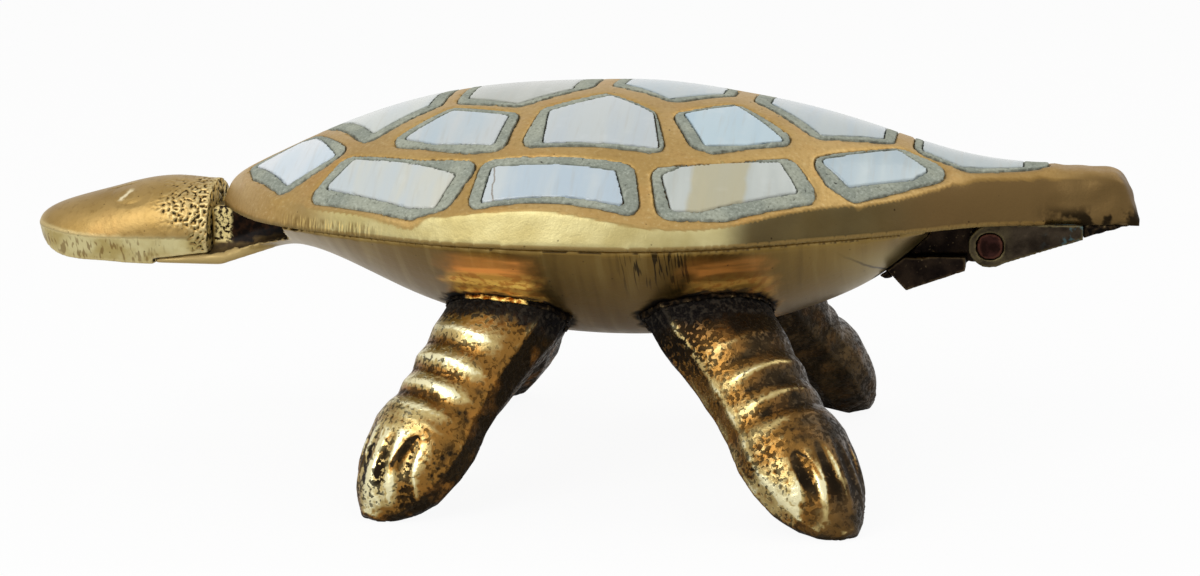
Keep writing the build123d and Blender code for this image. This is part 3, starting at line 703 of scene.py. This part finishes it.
def leg_depth(place, normal):
    """The sand's pits, deepest on the sides and underneath."""
    side = 1 - max(0.0, normal[2]) ** 0.5
    pitted = 0.5 + 0.5 * noise.noise(place / PITTED_PATCH_SIZE)
    pits = (TOP_PIT + SIDE_PIT * side) * holes(place, LEG_PIT_SIZE, 0.1) * pitted
    return LEG_SKIM + LEG_WAVE * noise.noise(place / LEG_WAVE_SIZE) + pits


def facing(normals, direction, side):
    """How squarely each point faces a direction, which is mirrored for the legs on the near side."""
    x, y, z = direction
    return normals @ np.array((x, y * side, z), np.float32)


cast = Finish("leg_brass", LEG_COLOURS, roughness=0.3)
cloud = cast.mottle(4, detail=5)
fine = cast.mottle(0.7, detail=5)
wear, lit_and_clean, groove, scorch, rough = map(cast.painted, ("wear", "lit_and_clean", "groove", "scorch", "rough"))
# How bright the brass shows: painted light on the side facing the lamp, real wear on high places, blotches
# and grain.
state = 0.72 * lit_and_clean + 2.0 * (wear - 0.5) + 0.5 * (cloud - 0.5) + 0.35 * (fine - 0.5)
state = state + 0.1 * groove - 0.3 * scorch
cast.skin = cast.mix(state.rising(0.1, 0.42), "sand skin", "bronzed")
amber = cast.mottle(3.5, detail=4, shift=(0.2, 0, 0)).rising(0.5, 0.75)
cast.lay("amber", amber, 0.65)
# Painted shade: a rear leg's side turned away from the lamp gets the dark side's colours.
side_skin = cast.mix(cloud.rising(0.35, 0.65), "dark side", "brown side")
cast.lay(side_skin, cast.painted("shaded_side"), 0.8)
cast.lay("scorched", scorch.rising(0.25, 0.75), 0.75)
# Bare and buffed brass where the state is high: on worn high places and, as painted light, towards the
# lamp.
cast.lay("bare", state.rising(0.5, 0.86))
cast.lay("buffed", state.rising(0.84, 1.02))
patches = cast.mottle(7, detail=2, shift=(0.3, 0, 0)).rising(0.38, 0.6)
pits = fine - 0.16 * (state - 0.45) + 0.04 * patches + 0.07 * rough + 0.13 * groove + 0.1 * scorch
pits = pits.rising(0.56, 0.63)
pit_share = 0.3 + 0.3 * patches + 0.2 * rough + 0.4 * groove + 0.4 * scorch
cast.lay("pit", pits * pit_share)
soot = (cast.painted("soot") + 0.8 * (cast.mottle(2.5, detail=5) - 0.5)).rising(0.3, 0.65)
cast.lay(cast.mix(fine.rising(0.45, 0.65), "soot", "grey soot"), soot, 0.92)
cast.give("Base Color", cast.skin)
cast.give("Roughness", 0.28 + 0.3 * pits + 0.3 * soot)
cast.relief(fine - 0.7 * pits, 0.12)

# Front and rear legs are painted lit from their own directions, a painted light on the side facing the
# lamp, and were scorched by the torch up to their own reach. Lit and clean says how bright the foot is
# painted where lit, and how much more or less the rest of the leg.
LIT_FROM = {"front": (-0.6, 0.68, 0.42), "rear": (-0.72, 0.6, 0.35)}
LIT_AT = {"front": (0.05, 0.95), "rear": (0.1, 0.95)}
LIT_AND_CLEAN = {"front": (0.94, 0.1), "rear": (1.0, -0.32)}
SCORCH_REACH = {"front": 0.007, "rear": 0.015}
OUTWARD, OUTER_FACE = (0.0, 0.8, 0.6), (0.35, 0.7)
ANKLE, ANKLE_WIDTH, ANKLE_DIRT = 0.61, 0.04, 0.3
LOW_DOWN = (-0.016, -0.006)
LEG_SOOT_REACH = 0.006
FOOT_ROUNDS = 200

for name in LEGS:
    leg = casting(name, name + "_casting", "base", LEG_GRAIN, rounding=5)
    side = -1 if name.endswith("left") else 1
    end = "rear" if "rear" in name else "front"
    normals = points_of(leg)[1]
    lit = steps(facing(normals, LIT_FROM[end], side), *LIT_AT[end])
    outer = steps(facing(normals, OUTWARD, side), *OUTER_FACE)
    rub_over(leg, at_each_point(leg, lambda place, normal: on_foot(place, name)), FOOT_ROUNDS)
    alongs = at_each_point(leg, lambda place, normal: leg_place(place, name)[0])
    grooves = at_each_point(leg, lambda place, normal: toe_groove(place, name))
    sink(leg, leg_depth)
    normals = points_of(leg)[1]
    push_in(leg, GROOVE_DEPTH * grooves.astype(np.float32))
    heights = points_of(leg)[0][:, 2]
    paint_wear(leg, reach=16, full=0.24, rubbed=outer, dirty=1 - 0.75 * grooves)
    paint(leg, "groove", grooves)
    paint(leg, "soot", nearness(leg, [name + "_braze", "bowl"], LEG_SOOT_REACH))
    paint(leg, "scorch", nearness(leg, ["bowl"], SCORCH_REACH[end]))
    ankle = np.exp(-((alongs - ANKLE) / ANKLE_WIDTH) ** 2)
    foot_lit, leg_more = LIT_AND_CLEAN[end]
    high_up = 1 - steps(-heights, *LOW_DOWN)
    # Painted light on the side facing the lamp, with some dirt at the ankle, and painted shade on a rear
    # leg's far side.
    paint(leg, "lit_and_clean", lit * (foot_lit + leg_more * high_up) - ANKLE_DIRT * ankle)
    paint(leg, "shaded_side", (1 - lit) * (end == "rear"))
    paint(leg, "rough", steps(-normals[:, 0], -0.25, 0.45))
    leg.data.materials.append(cast.material)

# Beads of braze: the burnt, blistered filler that was run round each leg's top, behind the hinge
# bracket and behind the fork. Nobody cleaned it. A stretch over one front leg is painted bright gold, as
# painted reflection, the foot of the belly's painted reflection of that leg.
BEAD_GRAIN = 0.00028
BEAD_COLOURS = {
    "crust": "14110f", "brown crust": "3a2e20", "rubbed": "7a6a4a", "bead_glow": "ffdc80", "copper": "a8641e",
}
BEADS = {name + "_braze": "base" for name in LEGS} | {"bracket_braze": "base", "fork_braze": "shell"}
BEAD_GLOW_FROM_X, BEAD_GLOW_TO_X, BEAD_GLOW_Z = (-0.0175, -0.0105), (-0.0055, 0.001), (0.0325, 0.0345)
BEAD_SUNK, BLISTER, BLISTER_SIZE, BEAD_HOLE, BEAD_HOLE_SIZE = 0.12, 0.22, 1.3, 0.3, 0.6


def bead_depth(place, normal):
    """Blisters and drips in the cold filler."""
    blisters = BEAD_SUNK + BLISTER * noise.noise(place / BLISTER_SIZE)
    return blisters + BEAD_HOLE * holes(place, BEAD_HOLE_SIZE, 0.1)


burnt = Finish("burnt_braze", BEAD_COLOURS, roughness=0.62)
crust = burnt.mottle(0.9, detail=5)
burnt.skin = burnt.mix(crust.rising(0.42, 0.66), "crust", "brown crust")
burnt.lay("rubbed", crust.rising(0.6, 0.72) * burnt.painted("wear").rising(0.55, 0.8))
# Painted reflection: the bright gold stretch on the bead over the front left leg.
painted_glow = (burnt.painted("painted_glow") + 0.9 * (crust - 0.5)).rising(0.45, 0.7)
burnt.lay(burnt.mix(crust.rising(0.45, 0.6), "bead_glow", "copper"), painted_glow)
burnt.give("Base Color", burnt.skin)
burnt.give("Roughness", 0.8 - 0.3 * crust - 0.2 * painted_glow)
burnt.relief(crust, 0.25)
for name, body in BEADS.items():
    bead = casting(name, name + "_bead", body, BEAD_GRAIN, rounding=1)
    sink(bead, bead_depth)
    paint_wear(bead, reach=6, full=0.2)
    places = points_of(bead)[0]
    bead_glow = steps(places[:, 0], *BEAD_GLOW_FROM_X) * (1 - steps(places[:, 0], *BEAD_GLOW_TO_X))
    paint(bead, "painted_glow", bead_glow * (steps(places[:, 2], *BEAD_GLOW_Z) * (places[:, 1] < 0)))
    bead.data.materials.append(burnt.material)

# Hinge: a bracket with a web under the bowl's stern, a fork under the tail, and a copper-coloured pin
# through both. All three are coloured dark, the bracket almost black, with old blue-green flux on the fork;
# they are brighter on their edges.
HINGE_GRAIN = 0.0003
HINGE_SUNK, DENT, DENT_SIZE, HINGE_PIT, HINGE_PIT_SIZE = 0.03, 0.06, 2.5, 0.2, 0.7
LUG_X, FLUX_X = (0.0765, 0.0785), (0.082, 0.09)
BRACKET_COLOURS = {"black": "15100e", "brown": "2f251d", "rubbed": "5a4a34", "spot": "75654a"}
FORK_COLOURS = {
    "dark": "231d17", "brown": "40372c", "lug": "504734", "rubbed": "6e6344", "blue green": "4a7078",
}
PIN_COLOURS = {"dark": "1f120f", "copper": "36201c", "rubbed": "5e3a2e"}


def hinge_depth(place, normal):
    """Dents and pits in a rough lump of brass."""
    dents = HINGE_SUNK + DENT * noise.noise(place / DENT_SIZE)
    return dents + HINGE_PIT * holes(place, HINGE_PIT_SIZE, 0.2)


dark = Finish("dark_brass", BRACKET_COLOURS, roughness=0.45)
cloud = dark.mottle(3.5, detail=4)
dark.skin = dark.mix(cloud.rising(0.35, 0.7), "black", "brown")
dark.lay("rubbed", dark.painted("wear").rising(0.62, 0.95), 0.6)
spots = dark.mottle(0.6, detail=3).rising(0.64, 0.74)
dark.lay("spot", spots, 0.5)
dark.give("Base Color", dark.skin)
dark.give("Roughness", 0.38 + 0.3 * cloud)
dark.relief(dark.mottle(0.8, detail=5), 0.15)

aged = Finish("fork_brass", FORK_COLOURS, roughness=0.45)
cloud = aged.mottle(3, detail=4)
lug = aged.x.falling(*LUG_X)
aged.skin = aged.mix(cloud.rising(0.35, 0.7), "dark", "brown")
aged.lay("lug", lug * cloud.rising(0.35, 0.6), 0.7)
aged.lay("rubbed", aged.painted("wear").rising(0.62, 0.95), 0.6)
flux = aged.mottle(1.6, detail=4, shift=(0.7, 0, 0)).rising(0.56, 0.66)
aged.lay("blue green", flux * aged.x.rising(*FLUX_X), 0.6)
aged.give("Base Color", aged.skin)
aged.give("Roughness", 0.38 + 0.3 * cloud)
aged.relief(aged.mottle(0.8, detail=5), 0.15)

coppery = Finish("pin_metal", PIN_COLOURS, roughness=0.5)
cloud = coppery.mottle(1.5, detail=4)
coppery.skin = coppery.mix(cloud.rising(0.35, 0.65), "dark", "copper")
coppery.lay("rubbed", coppery.painted("wear").rising(0.6, 0.85), 0.5)
coppery.give("Base Color", coppery.skin)
coppery.relief(cloud, 0.08)

for node, name, body, slot, finish in (
    ("hinge_bracket", "bracket_lump", "base", "bracket_brass", dark),
    ("hinge_fork", "fork_lug", "shell", "fork_brass", aged),
    ("hinge_pin", "pin_rod", "shell", "pin_metal", coppery),
):
    piece = casting(node, name, body, HINGE_GRAIN, rounding=2)
    sink(piece, hinge_depth)
    paint_wear(piece, reach=8, full=0.16)
    piece.data.materials.append(finish.material)

# Shell: the domed lid, a brass casting with a pocket for each plate of pearl. Cement, pearl and brass
# were ground down together, so its top is satin; the leaning band round its edge is filed. The band is
# painted pale gold along its front and middle and olive towards the rear, as painted reflection.
SHELL_GRAIN = 0.0006
RIM_Z = 0.0458
CEMENTS = sorted(n for n in nodes if n.startswith("cement_"))
SHELL_COLOURS = {
    "satin": "a98a52", "pale satin": "b89a63", "warm cloud": "b88848", "dark grain": "85693a",
    "pale grain": "cdb888", "stern": "86693c", "band": "aea06c", "pale band": "c4b987",
    "olive": "3f321f", "pale olive": "594829", "band's end": "6a5433", "arris": "8a6c38",
    "dark scratch": "6b5226", "bright scratch": "e0c47c", "speck": "2a1f12", "seam": "4a4232",
    "tail": "655030", "pale tail": "7a6440", "burnt": "1b160f", "dark sand": "46371f",
    "pale sand": "635030", "depths": "2a2014", "land": "9c8450",
}
# The shell's relief, in millimetres: slow waves, bumps on the tail, and file cuts on the band's front.
SHELL_SKIM, SHELL_WAVE, SHELL_RIPPLE, SHELL_RIPPLE_SIZE = 0.06, 8, 0.02, 2
TAIL_FROM, TAIL_FADE, TAIL_BUMP, TAIL_BUMP_SIZE = 78, 8, 0.3, 3.2
FILED_FROM, FILED_TO, FILED_TOP = -46, -25, 48.5
BAND_CUT, CUT_PITCH, CUT_LENGTH, CUT_LEAN = 0.12, 0.6, 8, 0.7


def shell_depth(place, normal):
    """The unevenness of hand grinding, and the cuts of a coarse file low on the front of the band."""
    depth = SHELL_SKIM + SHELL_SKIM * noise.noise(place / SHELL_WAVE)
    depth += SHELL_RIPPLE * noise.noise(place / SHELL_RIPPLE_SIZE)
    bumps = 0.5 + noise.noise(place / TAIL_BUMP_SIZE)
    depth += TAIL_BUMP * clamp((place.x - TAIL_FROM) / TAIL_FADE) * bumps
    if FILED_FROM < place.x < FILED_TO and place.z < FILED_TOP and normal[2] < 0.6:
        across = (place.x + CUT_LEAN * place.z) / CUT_PITCH
        cut = noise.noise(Vector((across, place.y / CUT_LENGTH, place.z / CUT_LENGTH)))
        depth += BAND_CUT * max(0.0, cut)
    return depth


# Both ends of the band are rubbed round, but not where the cement comes near.
FRONT_END, REAR_END, OVER_RIM = (0.034, 0.052), (0.05, 0.066), (0.0464, 0.0474)
RUB_CLEARANCE, BAND_CLEARANCE, SEAM_REACH = 0.0025, 0.0009, 0.0008
BAND_ROUNDS = 90
LAND_BELOW, LAND_ABOVE, LAND_DROP, LAND_FADE = 0.0001, 0.0004, 0.00012, 0.0002

shell = casting("shell", "shell_casting", "shell", SHELL_GRAIN, rounding=2)
places, normals = points_of(shell)
clear = 1 - steps(nearness(shell, CEMENTS, RUB_CLEARANCE), 0.0, 0.5)
ends_of_band = steps(-places[:, 0], *FRONT_END) + steps(places[:, 0], *REAR_END)
above = steps(places[:, 2], *OVER_RIM) * (normals[:, 2] > -0.2)
rub_over(shell, clear * ends_of_band * above, BAND_ROUNDS)
sink(shell, shell_depth)
level(shell, RIM_Z - LAND_BELOW, RIM_Z + LAND_ABOVE, RIM_Z - LAND_DROP)
paint_wear(shell, reach=8, full=0.3)
places, normals = points_of(shell)
clear = 1 - steps(nearness(shell, CEMENTS, BAND_CLEARANCE), 0.0, 0.4)
land = steps(-places[:, 2], -RIM_Z - LAND_ABOVE, -RIM_Z - LAND_FADE) * steps(-normals[:, 2], 0.5, 0.8)
paint(shell, "band", steps(0.66 - normals[:, 2], 0.0, 0.1) * steps(normals[:, 2], -0.5, -0.3) * clear)
paint(shell, "land", land)
paint(shell, "below", steps(-normals[:, 2], 0.3, 0.6) * (1 - land))
paint(shell, "seam", nearness(shell, CEMENTS, SEAM_REACH))

# Where the shell's look changes, along it and up it, and how far such a border strays.
SHELL_STERN_X = (0.05, 0.078)
BAND_X, OLIVE_X, OLIVE_STRAY, BAND_END_X = (-0.049, -0.034), (0.029, 0.036), 0.006, (0.052, 0.066)
FILED_X, FILED_SOFT, FILED_Z = (-0.0455, -0.028), 0.003, (0.0474, 0.0484)
TAIL_X, TAIL_Z = (0.084, 0.092), (0.0535, 0.055)
BURN_X, BURN_Z, BURN_STRAY = (0.08, 0.088), (0.047, 0.0495), 0.002
SHELL_DEPTHS_Z, LAND_X = (0.048, 0.066), (0.07, 0.08)

ground = Finish("ground_brass", SHELL_COLOURS, roughness=0.4)
cloud = ground.mottle(16, detail=3)
grain = ground.mottle(0.6, detail=5)
ground.skin = ground.mix(cloud.rising(0.3, 0.7), "satin", "pale satin")
warm = ground.mottle(9, detail=3, shift=(0.4, 0, 0)).rising(0.5, 0.75)
ground.lay("warm cloud", warm, 0.4)
ground.lay("dark grain", grain.rising(0.5, 0.72), 0.3)
ground.lay("pale grain", grain.falling(0.28, 0.45), 0.3)
ground.lay("stern", ground.x.rising(*SHELL_STERN_X), 0.55)
# Painted reflection: the band is pale gold where it faces the bright front left, then olive, and darker
# brown at its end.
band = ground.painted("band") * ground.x.rising(*BAND_X)
gold = ground.mix(ground.mottle(7, detail=3).rising(0.35, 0.7), "band", "pale band")
olive = (ground.x + OLIVE_STRAY * (cloud - 0.5)).rising(*OLIVE_X)
gold = ground.mix(olive * 0.92, gold, ground.mix(cloud.rising(0.3, 0.7), "olive", "pale olive"))
gold = ground.mix(ground.x.rising(*BAND_END_X), gold, "band's end")
ground.lay(gold, band)
ground.lay("arris", band * (1 - band), 2.0)
scratch = ground.mottle(0.3, detail=2, stretch=(1, 0.12, 0.12), turn=(0, 0.7, 0))
filed_here = ground.x.window(*FILED_X, FILED_SOFT) * ground.z.falling(*FILED_Z)
filed_here = filed_here * (1 - ground.painted("below"))
ground.lay("dark scratch", scratch.rising(0.5, 0.6) * filed_here, 0.6)
ground.lay("bright scratch", scratch.falling(0.36, 0.46) * filed_here, 0.7)
specks = ground.pocks(3.4).falling(0.03, 0.07)
ground.lay("speck", specks, 0.8)
seam = (ground.painted("seam") + 0.5 * (ground.mottle(1.0, detail=4) - 0.5)).rising(0.66, 0.98)
ground.lay("seam", seam, 0.75)
tail = ground.x.rising(*TAIL_X) * ground.z.falling(*TAIL_Z)
ground.lay(ground.mix(cloud.rising(0.35, 0.65), "tail", "pale tail"), tail, 0.85)
burn = ground.x.rising(*BURN_X) * (ground.z + BURN_STRAY * (cloud - 0.5)).falling(*BURN_Z)
burn = burn * ground.mottle(3.5, detail=5).rising(0.46, 0.58)
ground.lay("burnt", burn, 0.9)
sand = ground.mix(ground.mottle(1.3, detail=4).rising(0.3, 0.7), "dark sand", "pale sand")
sand = ground.mix(ground.z.rising(*SHELL_DEPTHS_Z) * 0.6, sand, "depths")
ground.lay(sand, ground.painted("below"))
ground.lay("land", ground.painted("land") * ground.x.falling(*LAND_X))
ground.give("Base Color", ground.skin)
ground.give("Roughness", 0.42 + 0.03 * band + 0.25 * seam + 0.25 * burn + 0.1 * grain)
ground.relief(grain + 0.6 * ground.mottle(0.25) - 0.5 * specks, 0.05)
shell.data.materials.append(ground.material)

# Cement: the grey filler that beds each plate in its pocket. It is sandy and full of small holes, and
# dirt has settled along both its edges.
CEMENT_GRAIN = 0.0003
CEMENT_COLOURS = {
    "grey": "8b9184", "pale grey": "a3a796", "dark sand": "63655a", "pale sand": "bfc4b6",
    "dirt": "44443a", "hole": "26241f",
}
CEMENT_SKIM, SAND, SAND_SIZE = 0.04, 0.03, 0.7
CEMENT_HOLE, CEMENT_HOLE_SIZE = 0.45, 0.8
CRUMB_SUNK, CRUMB, CRUMB_SIZE = 0.06, 0.2, 1.1
DIRT_BY_BRASS, DIRT_BY_PEARL = 0.0007, 0.0005


def cement_depth(place, normal):
    """Sandy grain, holes, and crumbled edges."""
    depth = CEMENT_SKIM + SAND * noise.noise(place / SAND_SIZE)
    depth += CEMENT_HOLE * holes(place, CEMENT_HOLE_SIZE, 0.38)
    if abs(normal[2]) < 0.6:
        depth += CRUMB_SUNK + CRUMB * max(0.0, noise.noise(place / CRUMB_SIZE))
    return depth


filler = Finish("grey_cement", CEMENT_COLOURS, roughness=0.85, metallic=0.0)
sand = filler.mottle(0.45, detail=4)
filler.skin = filler.mix(filler.mottle(5).rising(0.35, 0.65), "grey", "pale grey")
filler.lay("dark sand", sand.rising(0.52, 0.68), 0.45)
filler.lay("pale sand", sand.falling(0.32, 0.46), 0.45)
dirt = (filler.painted("edge") + 0.7 * (filler.mottle(1.0, detail=4) - 0.5)).rising(0.62, 1.0)
filler.lay("dirt", dirt, 0.75)
filler.lay("hole", filler.painted("wear").falling(0.12, 0.34), 0.9)
filler.give("Base Color", filler.skin)
filler.relief(sand, 0.12)
for node in CEMENTS:
    ring = casting(node, node + "_ring", "shell", CEMENT_GRAIN, rounding=1)
    sink(ring, cement_depth)
    paint_wear(ring, reach=6, full=0.25)
    by_brass = nearness(ring, ["shell"], DIRT_BY_BRASS)
    by_pearl = nearness(ring, [node.replace("cement", "pearl")], DIRT_BY_PEARL)
    paint(ring, "edge", np.maximum(by_brass, by_pearl))
    ring.data.materials.append(filler.material)

# Mother-of-pearl: a plate sawn from shell for each pocket, ground to the dome and polished. Every plate
# has its own tint and its own straight, faint growth bands.
PEARLS = sorted(n for n in nodes if n.startswith("pearl_"))
PEARL_GRAIN = 0.0003
# Each group's plates from front to back: two tints, and the turn of the growth bands in radians.
# The tints are the plates' own colours and also painted reflection: lighter towards the head, greyer
# towards the tail.
PEARL_TINTS = {
    "back": [
        ("b8c1bf", "c3c8c0", 0.4), ("9da196", "aaada2", 1.2), ("9fafb5", "abb5b5", 0.2),
        ("a5b4bb", "b2bbb9", 1.0), ("aab6b8", "b6bebc", 0.7),
    ],
    "left_flank": [
        ("b0c0c8", "c0c6c6", 1.3), ("b9c2c6", "c0c6c4", 1.4), ("a6c0ce", "b8ccd4", 0.9),
    ],
    "left_rim": [
        ("c6d4dd", "d3dade", 0.5), ("bfc8ca", "ccccbe", 1.3), ("b4c4cf", "c4cdcf", 1.1),
        ("b4bab4", "c3c8c2", 1.45), ("a8bac2", "b8c6c8", 0.8),
    ],
    "right_flank": [
        ("b6c0c6", "c4c4ba", 1.1), ("b0bcc6", "c0c4c2", 0.6), ("aabcc8", "bec6c8", 1.2),
    ],
    "right_rim": [
        ("bec8ce", "cbcbc2", 0.8), ("b4c0ca", "c6c6be", 1.4), ("bec2c2", "cac8be", 1.0),
        ("b0bec9", "c2c8cb", 0.9), ("bac2c8", "c8c6bc", 1.25),
    ],
}
PEARL_COLOURS = {
    "line": "aba492", "sheen": "d8dcda", "stripe": "b3a368", "crack": "6f5a38", "edge": "6d685c",
}
# One plate has a yellow stripe across it, and one a crack; both stray a little from straight.
STRIPED, CRACKED = "pearl_left_rim_4", "pearl_left_rim_3"
STRIPE_FROM_X, STRIPE_TO_X, STRIPE_STRAY = (0.0255, 0.0267), (0.0345, 0.0355), 0.002
CRACK_X, CRACK_SOFT, CRACK_LEAN, CRACK_STRAY = (-0.0131, -0.0128), 0.0001, 0.16, 0.0015
PEARL_SUNK, SAWN_SUNK, CHIP, CHIP_SIZE = 0.03, 0.06, 0.35, 1.3
PEARL_EDGE_REACH = 0.0006


def pearl_depth(place, normal):
    """A polished top, and sawn edges with small chips."""
    depth = PEARL_SUNK
    if abs(normal[2]) < 0.6:
        depth += SAWN_SUNK + CHIP * holes(place, CHIP_SIZE, 0.1)
    return depth


for node in PEARLS:
    group, number = node.removeprefix("pearl_").rsplit("_", 1)
    first, second, turn = PEARL_TINTS[group][int(number) - 1]
    tints = {"tint": first, "second tint": second, **PEARL_COLOURS}
    nacre = Finish("nacre_" + node, tints, 0.26, metallic=0.0, Coat_Roughness=0.1, Coat_Weight=0.4)
    bands = nacre.mottle(5.0, detail=3, stretch=(1, 0.15, 0.15), turn=(0, 0, turn), warp=0.3)
    lines = nacre.mottle(0.8, detail=2, stretch=(1, 0.1, 0.1), turn=(0, 0, turn), warp=0.1)
    nacre.skin = nacre.mix(bands.rising(0.35, 0.65), "tint", "second tint")
    nacre.lay("line", lines.rising(0.5, 0.75), 0.2)
    nacre.lay("sheen", nacre.mottle(3, detail=2).rising(0.55, 0.8), 0.2)
    if node == STRIPED:
        wave = nacre.x + STRIPE_STRAY * nacre.mottle(6)
        stripe = wave.rising(*STRIPE_FROM_X) * wave.falling(*STRIPE_TO_X)
        nacre.lay("stripe", stripe * (0.35 + 0.5 * bands))
    if node == CRACKED:
        wave = nacre.x + CRACK_LEAN * nacre.y + CRACK_STRAY * nacre.mottle(3)
        nacre.lay("crack", wave.window(*CRACK_X, CRACK_SOFT), 0.7)
    nacre.lay("edge", nacre.painted("edge").rising(0.5, 0.95), 0.35)
    nacre.give("Base Color", nacre.skin)
    nacre.relief(bands, 0.02)
    plate = casting(node, node + "_plate", "shell", PEARL_GRAIN, rounding=1)
    sink(plate, pearl_depth)
    paint(plate, "edge", nearness(plate, [node.replace("pearl", "cement")], PEARL_EDGE_REACH))
    plate.data.materials.append(nacre.material)
